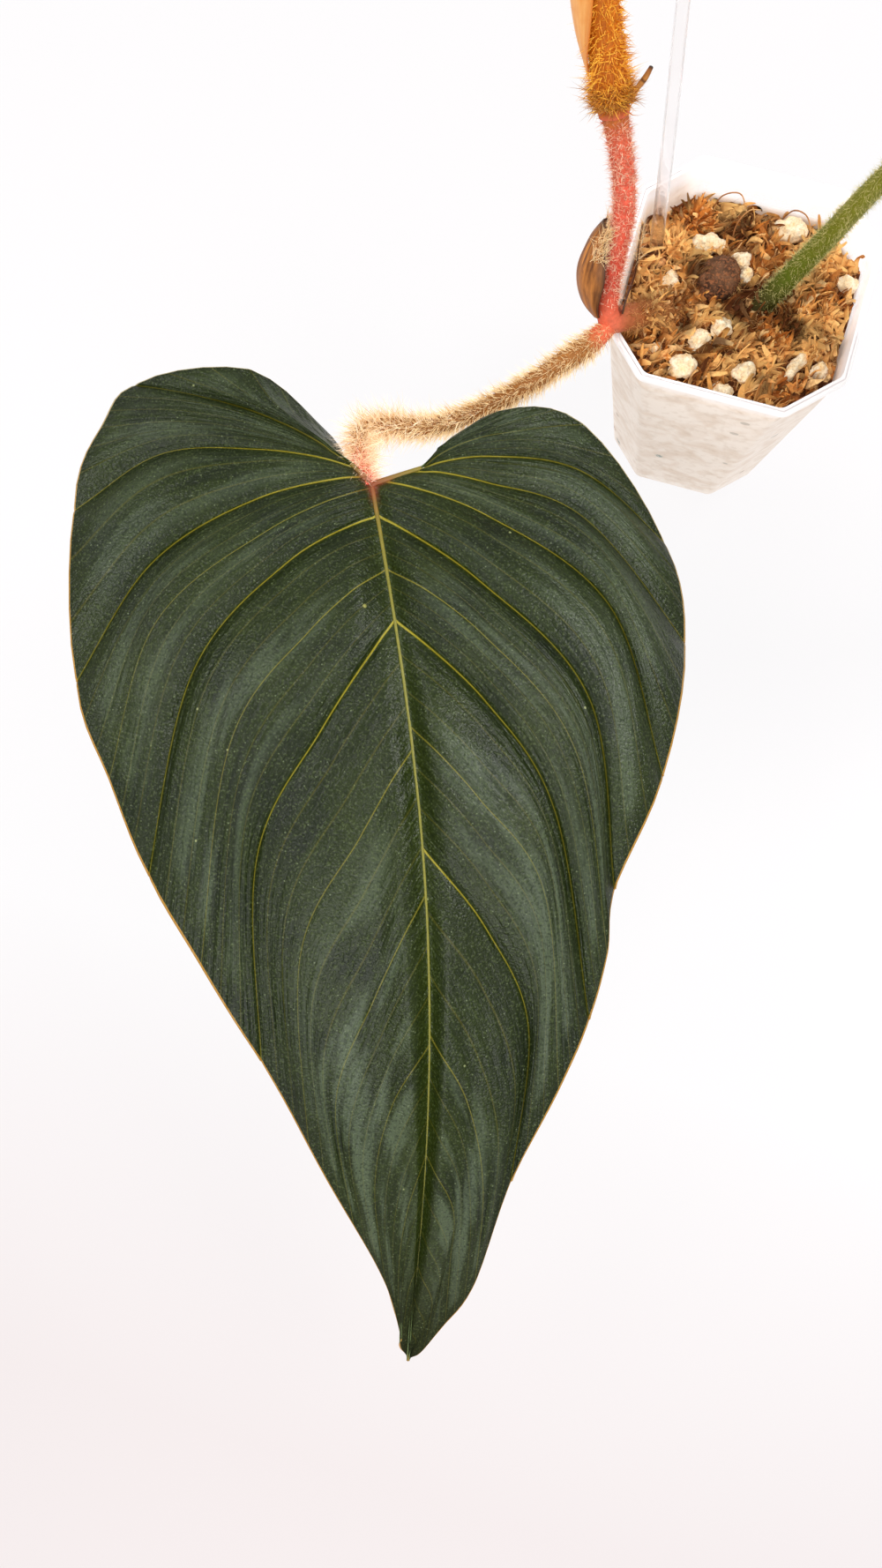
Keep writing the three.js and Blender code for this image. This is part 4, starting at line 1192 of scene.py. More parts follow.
# %% Rolled leaf
ROLLED_LEAF = [
    (-77.3, 38.7, 223.5, 3.2), (-80, 42.5, 231, 4.0), (-84, 47.5, 243, 3.9), (-88, 52, 256, 2.9),
    (-91.5, 55.5, 268, 1.6), (-94, 57.5, 277, 0.5),
]
rolled_line = route(np.array(ROLLED_LEAF) * MM, 80)
wound = np.linspace(0, 3 * math.pi, 52)
tangent = unit(np.gradient(rolled_line[:, :3], axis=0))
level = unit(np.cross(tangent, [0, 0, 1.0]))
upward = np.cross(tangent, level)
along = np.linspace(0, 1, len(rolled_line))[:, None]
turn = wound[None] + 1.6 * along
depth = rolled_line[:, 3:4] * (0.62 + 0.36 * wound[None] / wound[-1])
depth = depth * (1 + 0.02 * np.sin(30 * along + 2 * turn))
points = (rolled_line[:, None, :3] + level[:, None] * (depth * np.cos(turn))[..., None]
          + upward[:, None] * (depth * np.sin(turn))[..., None])
rolled = grid_piece("rolled_leaf_sheet", points, {
    "along": np.broadcast_to(along, turn.shape),
    "across": np.broadcast_to(wound[None] / wound[-1] * 2 - 1, turn.shape),
})
modify(rolled, "SOLIDIFY", thickness=0.3 * MM, offset=0)
tidy_mesh(rolled)
core_line = rolled_line.copy()
core_line[:, 3] *= 0.6
core = rod("rolled_core", core_line)
core.data.attributes.new("across", "FLOAT", "POINT")
rolled = join("rolled_leaf_spindle", [rolled, core])
settle(rolled, "rolled_leaf", [sheath_finish(
    "rolled_leaf_skin", rgb(96, 66, 34), rgb(132, 112, 52), rgb(196, 120, 70), 0.35)], ["rolled_leaf"])

# %% Aerial root
AERIAL_ROOT = [
    (-53.5, 13.5, 174, 0.9), (-52, 17, 176.5, 0.9), (-50.6, 18.8, 178.5, 1.0), (-49.4, 20.8, 181.5, 0.7),
]
aerial_line = route(np.array(AERIAL_ROOT) * MM, 40)
aerial = rod("aerial_root_stub", aerial_line, sides=4)
modify(aerial, "SUBSURF", levels=1, render_levels=1)
settle(aerial, "root", [stalk_finish("root_skin", [
    (0.0, rgb(206, 146, 74)), (0.55, rgb(196, 134, 66)), (0.6, rgb(96, 56, 24)), (0.68, rgb(196, 134, 66)),
    (0.9, rgb(160, 100, 48)), (1.0, rgb(58, 34, 18)),
])], ["aerial_root"])

buried_root, tree, shader = new_material("buried_root", 0.8)
fill(tree, shader, {"Base Color": blend(tree, blotches(tree, 300), rgb(110, 74, 42), rgb(168, 124, 80))})
roughen(tree, shader, 900, 0.0003)
for name, cad_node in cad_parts.items():
    if name.startswith("root_"):
        cad_node.data.materials.clear()
        cad_node.data.materials.append(buried_root)
print("stalks, sheaths and roots are finished")

# %% [markdown]
# ## Nursery pot
# The pot is thin milky plastic, eight-sided, narrower at its base, with a thicker rim. It could be lathed and
# squared off, but its outline is an exact octagon at every height. So one octagon is drawn, and its face is
# extruded again and again: up the outside, round the rim, down the inside. The upright edges are then
# rounded, and the drain holes are cut through the floor.

# %% Pot shape
POT_HEIGHT = 115.0
POT_BASE_WIDTH, POT_BODY_TOP_WIDTH, POT_RIM_WIDTH = 64.0, 87.6, 90.0
POT_BASE_CORNER, POT_TOP_CORNER = 15.0, 18.0
RIM_HEIGHT, RIM_LEDGE, WALL, POT_FLOOR = 3.5, 0.6, 1.0, 1.5
CORNER_SHRINK = 2 - math.sqrt(2)
DRAIN_HOLES, DRAIN_RING, DRAIN_RADIUS = 8, 21.0, 3.0
CORNER_ROUND = 1.6 * MM
EDGE_ROUND = 0.25 * MM


def octagon(width, corner, z):
    half = width / 2
    flat = half - corner
    return np.array([
        (half, -flat, z), (half, flat, z), (flat, half, z), (-flat, half, z),
        (-half, flat, z), (-half, -flat, z), (-flat, -half, z), (flat, -half, z),
    ]) * MM


def body_outline(z, inset=0.0):
    """The body's outline at a height, moved in by some distance."""
    share = z / POT_HEIGHT
    width = POT_BASE_WIDTH + (POT_BODY_TOP_WIDTH - POT_BASE_WIDTH) * share
    corner = POT_BASE_CORNER + (POT_TOP_CORNER - POT_BASE_CORNER) * share
    return octagon(width - 2 * inset, corner - CORNER_SHRINK * inset, z)


def extrude_to(piece, before, after):
    """Extrudes the selected face, and moves each new corner from its place before to its place after."""
    bpy.ops.object.mode_set(mode="EDIT")
    bpy.ops.mesh.extrude_region_move()
    bpy.ops.object.mode_set(mode="OBJECT")
    for vertex in piece.data.vertices:
        if vertex.select:
            nearest = np.linalg.norm(before - np.array(vertex.co), axis=1).argmin()
            vertex.co = after[nearest]


rim_bottom = POT_HEIGHT - RIM_HEIGHT
outlines = [
    body_outline(0), body_outline(rim_bottom - 9), body_outline(rim_bottom - 8, -0.25),
    body_outline(rim_bottom - 7, 0), body_outline(rim_bottom),
    octagon(POT_RIM_WIDTH, POT_TOP_CORNER, rim_bottom + RIM_LEDGE),
    octagon(POT_RIM_WIDTH, POT_TOP_CORNER, POT_HEIGHT),
    body_outline(POT_HEIGHT, WALL), body_outline(POT_FLOOR, WALL),
]
clear_selection()
bpy.ops.mesh.primitive_circle_add(vertices=8, radius=0.03, fill_type="NGON")
pot = bpy.context.object
pot.name = "nursery_pot"
for vertex, corner in zip(pot.data.vertices, outlines[0]):
    vertex.co = corner
for before, after in zip(outlines, outlines[1:]):
    extrude_to(pot, before, after)
tidy_mesh(pot)

upright = pot.data.attributes.new("bevel_weight_edge", "FLOAT", "EDGE")
for edge in pot.data.edges:
    low, high = (pot.data.vertices[index].co for index in edge.vertices)
    upright.data[edge.index].value = float(abs(high.z - low.z) > 0.5 * MM)
modify(pot, "BEVEL", width=CORNER_ROUND, segments=3, limit_method="WEIGHT")
modify(pot, "BEVEL", width=EDGE_ROUND, segments=2, limit_method="ANGLE", angle_limit=math.radians(30))

for i in range(DRAIN_HOLES):
    turn = 2 * math.pi * (i + 0.5) / DRAIN_HOLES
    clear_selection()
    spot = Vector((DRAIN_RING * math.cos(turn), DRAIN_RING * math.sin(turn), 0)) * MM
    bpy.ops.mesh.primitive_cylinder_add(vertices=24, radius=DRAIN_RADIUS * MM, depth=9 * MM, location=spot)
    drill = bpy.context.object
    modify(pot, "BOOLEAN", object=drill, operation="DIFFERENCE", solver="EXACT")
    bpy.data.objects.remove(drill)
print(f"pot: {len(pot.data.polygons)} faces, {DRAIN_HOLES} drain holes")

# %% [markdown]
# ## Milky plastic
# The wall lets light through but blurs what lies behind it, so from outside the mix shows only as faint level
# smears. Real transmission through a thin cloudy wall is slow to render and noisy. Here the wall is mostly a
# bright white skin, a little see-through, with a faint painted glow that stands in for the light coming
# through it, smears from a noise stretched sideways, and a clean rim. Above the mix the far walls are
# clearer, and also whiter with a stronger painted glow, and a few small stains lie where the real ones do.

# %% Pot finish
# Each stain on the wall is its place, its size in millimetres and its colour
STAINS = [
    ((-32.9, -18.6, 13.7), 2.6, rgb(150, 104, 50)), ((-29.4, -20.6, 5.2), 2.4, rgb(48, 74, 66)),
    ((-32.4, -22.9, 35.6), 1.6, rgb(150, 110, 66)), ((-10.5, -35.5, 34.1), 2.2, rgb(92, 122, 118)),
    ((26.7, -25.6, 18.0), 1.8, rgb(150, 112, 70)),
]
RIM_WHITE = rgb(252, 248, 248)
# The wall's finish turns into the rim's between these heights, in metres
BODY_START, BODY_END = 0.104, 0.1115
# The wall's emission is a painted glow, set below
milky, tree, shader = new_material("milky_plastic", 0.32, Specular_IOR_Level=0.5, Emission_Strength=1.0)
where = object_place(tree)
stretched = node(tree, "Mapping", {"Vector": where, "Scale": (70, 70, 95), "Rotation": (0.3, 0.2, 0)})
smear = node(tree, "TexNoise", {
    "Vector": stretched.outputs[0], "Scale": 1.0, "Detail": 3.0, "Distortion": 1.4,
})
smear = remap(tree, smear.outputs["Fac"], 0.42, 0.7)
height = node(tree, "SeparateXYZ", {0: where}).outputs["Z"]
on_body = remap(tree, height, BODY_END, BODY_START)
squeezed = node(tree, "Mapping", {"Vector": where, "Scale": (60, 60, 90)}).outputs[0]
distance, chance = cell_field(tree, squeezed, 1.0)
mark = math_node(tree, "LESS_THAN", distance, 0.11)
mark = math_node(tree, "MULTIPLY", mark, math_node(tree, "GREATER_THAN", chance, 0.8))
colour = blend(tree, on_body, RIM_WHITE, rgb(248, 234, 220))
for value, strength, stain in (
    (smear, 0.55, rgb(214, 184, 154)), (mark, 0.5, rgb(120, 110, 90)),
    (blotches(tree, 300, 0.5, 0.68), 0.28, rgb(190, 160, 128)),
):
    colour = tinted(tree, colour, math_node(tree, "MULTIPLY", value, on_body), strength, stain)
for spot, size, stain in STAINS:
    gap = node(tree, "VectorMath", {0: where, 1: Vector(spot) * MM}, operation="DISTANCE").outputs["Value"]
    stained = mask(tree, gap, size * MM, 0.3 * size * MM)
    colour = tinted(tree, colour, stained, blotches(tree, 900, 0.35, 0.5), stain)
# Painted light: the whole wall glows a little in its own colour, and the far walls above the mix are whiter
# and glow more, standing in for light that comes through the plastic
far_side = node(tree, "VectorMath", {0: where, 1: (0.5, 0.85, 0)}, operation="DOT_PRODUCT").outputs["Value"]
open_wall = math_node(tree, "MULTIPLY", mask(tree, far_side, 0.012, 0.026), mask(tree, height, 0.097, 0.101))
solid = remap(tree, open_wall, low=0.87, high=0.2)
colour = blend(tree, open_wall, colour, RIM_WHITE)
painted_glow = remap(tree, open_wall, low=0.13, high=0.45)
fill(tree, shader, {
    "Base Color": colour, "Emission Color": blend(tree, painted_glow, (0, 0, 0, 1), colour),
    "Alpha": remap(tree, on_body, low=0.92, high=solid),
})
roughen(tree, shader, 240, 0.0002, 0.3)
settle(pot, "clear_pot", [milky], ["pot"], smooth=35)

# %% [markdown]
# ## Clear stake
# A clear rod shows only as two faint edge lines, because it bends the white room into itself. A glassy shader
# on a smooth rod gives those lines, and a see-through skin keeps them faint. The rod only needs enough sides
# and a rounded top.

# %% Stake
STAKE = [(-26.5, 5.5, 12, 2.6), (-34.4, 10, 106, 2.6), (-38.6, 13, 160, 2.4), (-42.4, 14.4, 205, 2.2),
         (-45.6, 15.2, 246, 2.0)]
stake_line = route(np.array(STAKE) * MM, 60)
stake_line[-1, 3] *= 0.55
stake = rod("stake_rod", stake_line, sides=6)
modify(stake, "SUBSURF", levels=1, render_levels=1)
clear_plastic, tree, shader = new_material(
    "clear_plastic", 0.05, IOR=1.12, Transmission_Weight=0.97, Specular_IOR_Level=0.4, Alpha=0.55)
fill(tree, shader, {"Base Color": blend(tree, blotches(tree, 30), rgb(255, 252, 251), rgb(246, 238, 236))})
settle(stake, "clear_stake", [clear_plastic], ["stake"])

# %% [markdown]
# ## Husk mix
# The pot is filled with coconut husk: torn chips and curly fibre, rust brown, with painted shade dark in the
# gaps. A bumpy solid gives the filling its body, from the pot's floor to a rough top, and the loose layer
# that shows is laid on it piece by piece.

# %% Mix body
SOIL_LEVEL, SOIL_ROUGHNESS, SOIL_BACK_DROP, DROP_START = 105.0, 1.6, 8.5, 5.0
SOIL_GAP = 0.3
MIX_BOTTOM, MIX_SIDE_START, MIX_SIDE_END = 1.9, 2.6, 92
MIX_REACH_HEIGHT, MIX_CEILING = 100, 111
# The first colour is the darkest husk tone, and also serves as the painted shade at the chips' feet
DARK_HUSK_AND_SHADE, RUST, STRAW = rgb(74, 38, 14), rgb(214, 138, 70), rgb(252, 210, 148)


def soil_height(x, y):
    """Height of the mix, in millimetres; it falls away at the back of the pot."""
    wide = np.sin(0.31 * x + 1.3) * np.cos(0.27 * y - 0.4)
    narrow = 0.5 * np.sin(0.6 * x - 0.5 * y)
    drop = SOIL_BACK_DROP * smooth((y - DROP_START) / (POT_RIM_WIDTH / 2 - DROP_START))
    return SOIL_LEVEL + SOIL_ROUGHNESS * (wide + narrow) - drop


def octagon_reach(angle, z):
    """Distance from the axis to the mix's side, in millimetres, in some directions at a height."""
    corners = body_outline(z, WALL + SOIL_GAP)[:, :2] / MM
    ahead = np.roll(corners, -1, axis=0)
    normal = unit(np.column_stack([(ahead - corners)[:, 1], -(ahead - corners)[:, 0]]))
    reach = (normal * corners).sum(1)
    facing = np.clip(normal @ np.array([np.cos(angle), np.sin(angle)]), 1e-6, None)
    return (reach[:, None] / facing).min(0)


def rough(x, y, z, seed):
    """A rough value around 0, from sines of odd lengths in turned directions."""
    rng = np.random.default_rng(seed)
    total = 0
    for i in range(14):
        way = unit(rng.normal(0, 1, 3)) * (0.25 * 1.32 ** i)
        total = total + np.sin(way[0] * x + way[1] * y + way[2] * z + rng.uniform(0, 6.28)) / 1.17 ** i
    return total / 3


around = np.linspace(0, 2 * math.pi, 181)
# Each ring is its height and its share of the pot's width; the rings of the rough top have no height yet
rings = [(MIX_BOTTOM, scale) for scale in (0.01, 0.5, 0.97)]
rings += [(z, 1.0) for z in np.linspace(MIX_SIDE_START, MIX_SIDE_END, 24)]
rings += [(None, scale) for scale in np.linspace(1, 0.01, 60)]
points = np.empty((len(rings), len(around), 3))
for row, (z, scale) in enumerate(rings):
    reach = octagon_reach(around, MIX_REACH_HEIGHT if z is None else z) * scale
    x, y = reach * np.cos(around), reach * np.sin(around)
    if z is None:
        top = soil_height(x, y) + 0.9 * rough(x, y, 0 * x, 61)
        inward = octagon_reach(around, MIX_SIDE_END) / octagon_reach(around, MIX_REACH_HEIGHT)
        narrow = 1 - (1 - inward) * smooth((SOIL_LEVEL - top) / 13) * (scale > 0.98)
        points[row] = np.column_stack([x * narrow, y * narrow, np.minimum(top, MIX_CEILING)])
    else:
        dent = 0.5 * np.clip(rough(x, y, z + 0 * x, 62), -1, 0) * (scale == 1.0)
        points[row] = np.column_stack([x * (1 + dent / 40), y * (1 + dent / 40), z + 0 * x])
mix = grid_piece("husk_mix", points * MM)
tidy_mesh(mix, 1e-5)

mix_finish, tree, shader = new_material("husk_mix_finish", 0.85, Specular_IOR_Level=0.2)
chip_tone = cell_field(tree, object_place(tree), 260.0)[1]
colour = ramp(tree, chip_tone, [(0.0, DARK_HUSK_AND_SHADE), (0.4, rgb(128, 70, 30)), (0.8, RUST), (1.0, STRAW)])
colour = blend(tree, blotches(tree, 420, 0.4, 0.6), colour, DARK_HUSK_AND_SHADE)
fill(tree, shader, {"Base Color": colour})
roughen(tree, shader, 700, 0.0008)
settle(mix, "soil", [mix_finish], ["soil_mix"])

# %% [markdown]
# ## Torn chips and fibre
# Close up, the loose layer is curled chips and fibre in tufts that point every way. One chip is a small strip
# that is bent along an arc and thickened, and four kinds of it are enough. Each tuft bursts out of a point on
# the mix, and more chips and fibres lie between the tufts. None starts under a white grain or on the bark.

# %% Chips
def chip_model(name, turn, wide_end, twist=0.0):
    """A strip along Z that bends through an angle, wide at its foot, and as long as 1 from end to end."""
    steps = np.linspace(0, 1, 7)
    spine_y = (1 - np.cos(turn * steps)) / turn
    spine_z = np.sin(turn * steps) / turn
    length = math.hypot(spine_y[-1], spine_z[-1])
    points = np.empty((len(steps), 2, 3))
    for side, sign in enumerate((-0.5, 0.5)):
        width = sign * (1 - (1 - wide_end) * steps ** 2) * np.clip(6 * steps + 0.4, 0, 1)
        points[:, side, 0] = width * np.cos(twist * steps)
        points[:, side, 1] = spine_y / length + width * 0.3 * np.sin(twist * steps)
        points[:, side, 2] = spine_z / length
    piece = grid_piece(name, points)
    modify(piece, "SOLIDIFY", thickness=0.05, offset=0)
    tidy_mesh(piece, 1e-4)
    return take_model(piece)


chip_models = [
    chip_model("chip", 0.5, 0.5), chip_model("chip", 1.3, 0.25, 0.8),
    chip_model("chip", 2.1, 0.4), chip_model("chip", 0.9, 0.1, 1.6),
]
print(f"chip: {len(chip_models[0][1])} triangles")

# Painted shade: the mix is darkened round the foot of the green petiole
PAINTED_SHADE_SPOT = (0.003, -0.004, 0.106)


def clumps(tree):
    """Painted shade, in dark blotches and round the green petiole's foot, and painted highlights in bright
    blotches, as two masks.
    """
    place = object_place(tree)
    far = node(tree, "VectorMath", {0: place, 1: PAINTED_SHADE_SPOT}, operation="DISTANCE").outputs["Value"]
    painted_shade = math_node(tree, "MAXIMUM", blotches(tree, 75, 0.5, 0.36, 1.0), mask(tree, far, 0.015, 0.006))
    return painted_shade, blotches(tree, 62, 0.48, 0.64, 1.0)


def husk_skin(name, dark, middle, light):
    """Fibrous husk: each chip in its own tone, with painted shade towards its foot and in dark blotches, and
    painted highlights in bright blotches.
    """
    material, tree, shader = new_material(name, 0.8, Specular_IOR_Level=0.2)
    colour = ramp(tree, attribute(tree, "tone"), [(0.0, dark), (0.35, middle), (0.75, light), (1.0, STRAW)])
    colour = tinted(tree, colour, blotches(tree, 900, 0.4, 0.6), 0.35, dark)
    # Painted shade: each chip darkens towards its foot, where it meets the mix
    foot = math_node(tree, "SUBTRACT", 0.45, attribute(tree, "tip"), clamp=True)
    colour = blend(tree, foot, colour, DARK_HUSK_AND_SHADE)
    # Painted shade in dark blotches and at the green petiole's foot, and painted highlights in bright
    # blotches
    painted_shade, painted_highlight = clumps(tree)
    colour = tinted(tree, colour, painted_shade, 0.85, rgb(72, 34, 10))
    colour = tinted(tree, colour, painted_highlight, 0.7, rgb(255, 206, 128))
    fill(tree, shader, {"Base Color": colour})
    roughen(tree, shader, 1500, 0.0002)
    return material


rust_husk = husk_skin("rust_husk", rgb(150, 78, 22), rgb(232, 146, 64), rgb(255, 196, 112))
brown_husk = husk_skin("brown_husk", rgb(88, 44, 14), rgb(176, 100, 38), rgb(236, 162, 84))
fine_fibre = hair_finish("fine_fibre", rgb(150, 86, 36), rgb(248, 196, 130), 0.75)

# Each is x, y and size in millimetres, its turn, and the share of its height that it rises
PERLITE = [
    (-26, -0.6, (6, 8.5, 6), 0.2, 0.1), (-16.6, 17.8, (13, 6.5, 6), 0.25, 0.2),
    (-3, 15, (7, 5.5, 5), 0.6, 0.1), (0.4, 8.6, (4.6, 4.6, 4.6), 0, 0.3),
    (-9.6, -20.6, (9, 7.5, 7), 1.1, 0.25), (-3, -14.2, (8, 6.8, 6.5), 0.9, 0.3),
    (-12.6, -33.2, (10, 8.5, 7), 0.3, 0.2), (9.2, -29.6, (8.5, 7, 6), 0.7, 0.2),
    (3.6, -37, (7, 5, 5), 0.2, 0.1), (26.3, -22.6, (12, 4.6, 5), 1.2, 0.2),
    (35.4, -20.4, (6.5, 5.5, 5), 0.5, 0.1), (12.2, 33, (12, 9, 7), 0.1, 0.2),
    (36.4, 15, (8, 6, 5.5), 0.4, 0.1), (-24.2, -27.4, (5, 4.6, 4.4), 0.4, 0.1),
]
# A husk tuft points every way, so it has no turn
HUSK = [
    (-24, 28, (13, 10, 9), 0.15), (-2, 28.5, (11, 8, 7), 0.1), (27, 29, (12, 9, 8), 0.15),
    (24, -5, (12, 8, 7), 0.1), (14.5, -15.5, (12, 7, 6), 0.1), (33.5, 1.5, (10, 8, 7), 0.15),
    (-27, 11.5, (9, 7, 6), 0.1), (22.5, 16, (9, 8, 6), 0.1),
]
BARK = (-9, 4.2, (13.5, 17, 11), -0.3, 0.14)
# Where the stem, the green petiole and the stake leave the mix: x, y and radius
STALK_FEET = [(-22, -13, 5), (-28, -17, 6), (8, -1, 6), (-34.4, 10, 4)]
WALL_PRESS_HEIGHT = 96.0
CHIP_FLATNESS = 0.5


def keeps_clear(x, y, spare=0.0):
    """True where a chip may start: inside the pot, and off the grains, the bark and the stalks."""
    angle = np.arctan2(y, x)
    fit = np.hypot(x, y) < octagon_reach(angle, 104) - 1.5
    for gx, gy, size, _, _ in [*PERLITE, BARK]:
        fit &= np.hypot(x - gx, y - gy) > 0.25 * (size[0] + size[1]) + spare
    for gx, gy, radius in STALK_FEET:
        fit &= np.hypot(x - gx, y - gy) > radius + spare
    return fit


def loose_spots(count, seed, spare=0.0):
    """Random places on the mix, in millimetres, that keep clear of what lies there."""
    rng = np.random.default_rng(seed)
    x, y = rng.uniform(-42, 42, (2, count * 4))
    fit = np.flatnonzero(keeps_clear(x, y, spare))[:count]
    return np.column_stack([x[fit], y[fit], soil_height(x[fit], y[fit])])


def inside_pot(axes, origins, length):
    """Turns back the directions that would end outside the pot."""
    ends = (origins + axes * 1.2 * length)[:, :2] / MM
    far = np.hypot(ends[:, 0], ends[:, 1]) / octagon_reach(np.arctan2(ends[:, 1], ends[:, 0]), 100)
    axes[far > 0.9, :2] *= -0.8
    return axes


def press_to_wall(piece):
    """Presses whatever reaches through the pot's wall flat against its inner side."""
    spots = np.array([vertex.co for vertex in piece.data.vertices])
    angle = np.arctan2(spots[:, 1], spots[:, 0])
    reach = np.hypot(spots[:, 0], spots[:, 1]) / MM
    spots[:, :2] *= np.minimum(1, octagon_reach(angle, WALL_PRESS_HEIGHT) / reach)[:, None]
    piece.data.vertices.foreach_set("co", spots.reshape(-1))
    piece.data.update()
    return piece


def lay_chips(name, count, seed, length):
    """Loose chips all over the mix, in four kinds."""
    rng = np.random.default_rng(seed)
    pieces = []
    for kind, model in enumerate(chip_models):
        spots = loose_spots(count // 4, seed + kind, 1.2)
        many = len(spots)
        axes = rng.normal(0, 1, (many, 3)) * [1, 1, CHIP_FLATNESS]
        axes[:, 2] = np.abs(axes[:, 2]) + 0.12
        axes = inside_pot(unit(axes), spots * MM, 1.25 * length)
        size = length * rng.uniform(0.6, 1.25, many)
        sizes = np.column_stack([rng.uniform(1.2, 3.2, many) * MM, size, size])
        spots[:, 2] += rng.uniform(-0.6, 0.8, many)
        bends = 0.15 * size[:, None] * rng.normal(0, 1, (many, 3))
        bends[:, 2] = -np.abs(bends[:, 2])
        pieces.append(scatter(name, model, spots * MM, axes, sizes, bends, rng.random(many)))
    return press_to_wall(join(name, pieces))


settle(lay_chips("brown_chips", 900, 71, 8.0 * MM), "husk", [brown_husk])
settle(lay_chips("rust_chips", 800, 81, 7.0 * MM), "husk", [rust_husk])


def burst(name, gx, gy, size, rise, seed, count, fibre_count):
    """A tuft of husk: chips and fibres that burst out of one torn piece."""
    rng = np.random.default_rng(seed)
    centre = np.array([gx, gy, soil_height(gx, gy) + rise * size[2]])
    pieces = []
    for kind, model in enumerate([*chip_models, curly_hair]):
        many = fibre_count if kind == 4 else count // 4
        way = unit(rng.normal(0, 1, (many, 3)) * [1, 1, 0.75] + [0, 0, 0.35])
        spots = (centre + way * np.array(size) * 0.24) * MM
        axes = inside_pot(unit(way + 0.5 * rng.normal(0, 1, (many, 3))), spots, size[0] * 0.55 * MM)
        axes[:, 2] = np.maximum(axes[:, 2], -0.1)
        length = rng.uniform(0.4, 0.9, many) * size[0] * 0.62 * MM
        if kind == 4:
            sizes = np.column_stack([np.full(many, 0.12 * MM), np.full(many, 0.12 * MM), length * 1.2])
        else:
            sizes = np.column_stack([rng.uniform(1.2, 2.8, many) * MM, length, length])
        bends = 0.25 * length[:, None] * rng.normal(0, 1, (many, 3))
        tones = rng.random(many)
        pieces.append(scatter(name, model, spots, axes, sizes, bends, tones, facing=way + 0.3))
    return press_to_wall(join(name, pieces))


for i, (gx, gy, size, rise) in enumerate(HUSK):
    torn = burst(f"husk_tuft_{i + 1}", gx, gy, size, rise, 91 + i, 150, 60)
    settle(torn, "husk", [rust_husk], [f"husk_{i + 1}"])

# Chips that cling to the old stem
for kind, model in enumerate(chip_models[1:3]):
    hair_coat(
        f"stem_husk_{kind + 1}", "husk", (rust_husk, brown_husk)[kind],
        stem_line, 190, ([0, 0.18, 0.22, 0.4, 0.44, 1], [0, 0, 1, 1, 0, 0]),
        ([0, 1], [6.0, 6.0]), 1.3, lean=0.3, mess=0.9, curl=0.2, seed=121 + kind, model=model,
    )

fibre_spots = loose_spots(2600, 101, 0.0)
fibre_rng = np.random.default_rng(102)
fibre_ways = unit(fibre_rng.normal(0, 1, (len(fibre_spots), 3)) * [1, 1, 0.5] + [0, 0, 0.3])
fibre_axes = inside_pot(fibre_ways, fibre_spots * MM, 8 * MM)
fibre_spots[:, 2] += 0.5
fibre_spots *= MM
fibres = tuft("loose_fibre", fibre_spots, fibre_axes, 6.5 * MM, 0.11 * MM, 0.1, 0.45, 103)
settle(press_to_wall(fibres), "husk", [fine_fibre])

STRANDS = [
    [(7, 36, 100, 0.3), (11, 39, 105, 0.28), (16, 37, 106.5, 0.25), (19, 31, 105, 0.22), (17, 27, 102, 0.12)],
    [(-8, 22, 102, 0.32), (-8, 27, 107, 0.28), (-5, 32, 109, 0.24), (-1, 34, 108, 0.14)],
    [
        (-19, 33, 99, 0.3), (-16, 38, 105, 0.26), (-10, 39, 107, 0.24), (-7, 36, 104.5, 0.22),
        (-9, 33, 101, 0.12),
    ],
    [(-28, 6, 104, 0.3), (-20, 8, 108.5, 0.26), (-14, 14, 108, 0.22), (-17, 20, 104, 0.12)],
    [(30, 8, 103, 0.3), (33, 14, 108, 0.26), (30, 20, 108, 0.22), (25, 22, 104, 0.12)],
]
strand_skin = stalk_finish("strand_skin", [
    (0.0, rgb(116, 66, 28)), (0.6, rgb(196, 132, 70)), (1.0, rgb(244, 196, 130)),
])
strands = [rod("strand", route(np.array(line) * MM, 40), sides=1) for line in STRANDS]
settle(join("long_strands", strands), "husk", [strand_skin])

# %% [markdown]
# ## Perlite and bark
# Cream grains of perlite and pumice lie in the mix, with one dark chunk of bark. A stone is never a ball.
# Each is a round primitive at its place, pushed in and out by a coarse cloud and then by a fine one, so that
# no two are alike.

# %% Grains
STONE_LIFT = 0.12
GRAIN_SWELL, GRAIN_COARSE, GRAIN_FINE = 1.05, 3.8, 1.0
BARK_SWELL, BARK_COARSE, BARK_FINE = 1.12, 1.6, 1.2


def stone(name, gx, gy, size, turn, rise, coarse, fine, detail=4, tilt=0.0):
    """A worn lump at its place on the mix, with its three widths and its roughness in millimetres."""
    clear_selection()
    spot = Vector((gx, gy, float(soil_height(gx, gy)) + rise * size[2])) * MM
    bpy.ops.mesh.primitive_ico_sphere_add(subdivisions=detail, radius=0.5 * MM, location=spot,
                                          rotation=(0, tilt, turn), scale=size)
    piece = bpy.context.object
    piece.name = name
    bpy.ops.object.transform_apply(location=True, rotation=True, scale=True)
    crumple(piece, coarse_cloud, coarse * MM)
    crumple(piece, fine_cloud, fine * MM)
    return piece


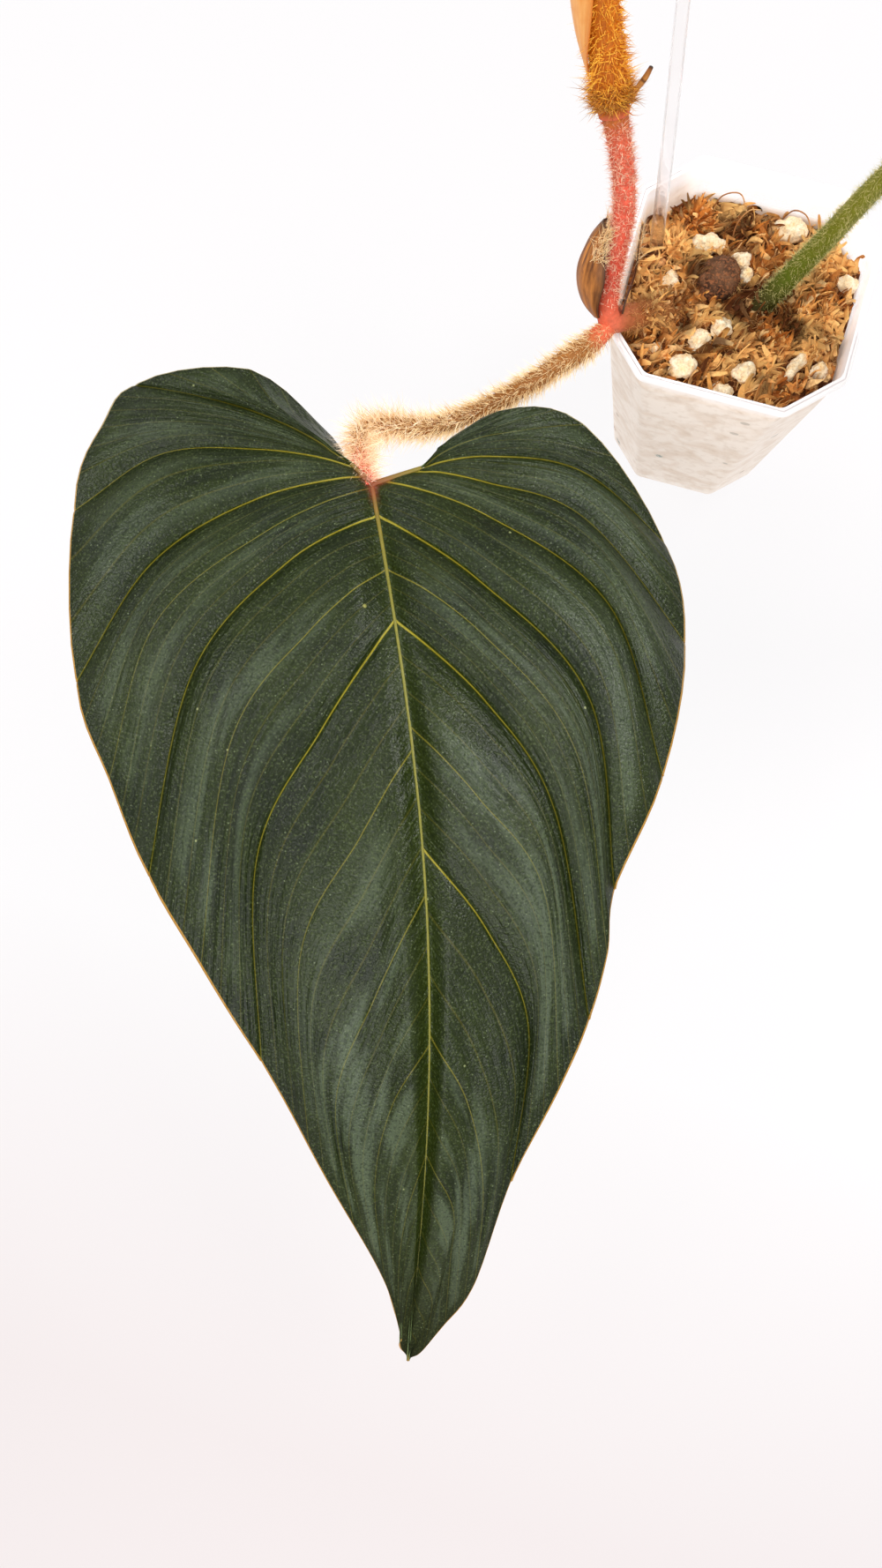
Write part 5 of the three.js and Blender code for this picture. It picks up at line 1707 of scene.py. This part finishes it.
coarse_cloud = cloud_texture("coarse_cloud", 0.0045)
fine_cloud = cloud_texture("fine_cloud", 0.0009)

# Painted glow: the grains give off a little light in their own colour
grit, tree, shader = new_material("grit", 0.85, Specular_IOR_Level=0.2, Emission_Strength=0.06)
colour = blend(tree, blotches(tree, 380, 0.3, 0.7), rgb(255, 244, 218), rgb(242, 204, 148))
colour = tinted(tree, colour, blotches(tree, 1300, 0.5, 0.62), 0.35, rgb(168, 132, 88))
fill(tree, shader, {"Base Color": colour, "Emission Color": colour})
roughen(tree, shader, 1900, 0.0004)
for i, (gx, gy, size, turn, rise) in enumerate(PERLITE):
    grain = stone(
        f"perlite_grain_{i + 1}", gx, gy, Vector(size) * GRAIN_SWELL, turn, rise + STONE_LIFT,
        GRAIN_COARSE, GRAIN_FINE,
    )
    settle(grain, "perlite", [grit], [f"perlite_{i + 1}"], smooth=70)

old_bark, tree, shader = new_material("old_bark", 0.8, Specular_IOR_Level=0.25)
colour = blend(tree, blotches(tree, 260, 0.35, 0.65), rgb(58, 36, 22), rgb(122, 84, 58))
colour = tinted(tree, colour, blotches(tree, 1100, 0.52, 0.6), 0.6, rgb(176, 108, 66))
fill(tree, shader, {"Base Color": colour})
roughen(tree, shader, 900, 0.001, 0.8)
gx, gy, size, turn, rise = BARK
chunk = stone(
    "bark_piece", gx, gy, Vector(size) * BARK_SWELL, turn, rise + STONE_LIFT,
    BARK_COARSE, BARK_FINE, tilt=0.1,
)
settle(chunk, "bark", [old_bark], ["bark_chunk"], smooth=60)
bark_rng = np.random.default_rng(111)
picked = bark_rng.choice(len(chunk.data.vertices), 260)
bark_spots = np.array([chunk.data.vertices[i].co for i in picked])
bark_normals = np.array([chunk.data.vertices[i].normal for i in picked])
settle(tuft("bark_fibre", bark_spots, bark_normals + [0.6, -0.4, 0.2], 3.2 * MM, 0.09 * MM, 0.5, 0.4, 112),
       "bark", [hair_finish("bark_hair", rgb(90, 48, 28), rgb(196, 124, 78), 0.8)])
print("the pot and all that lies in it are finished")

# %% End
print("the build is done")
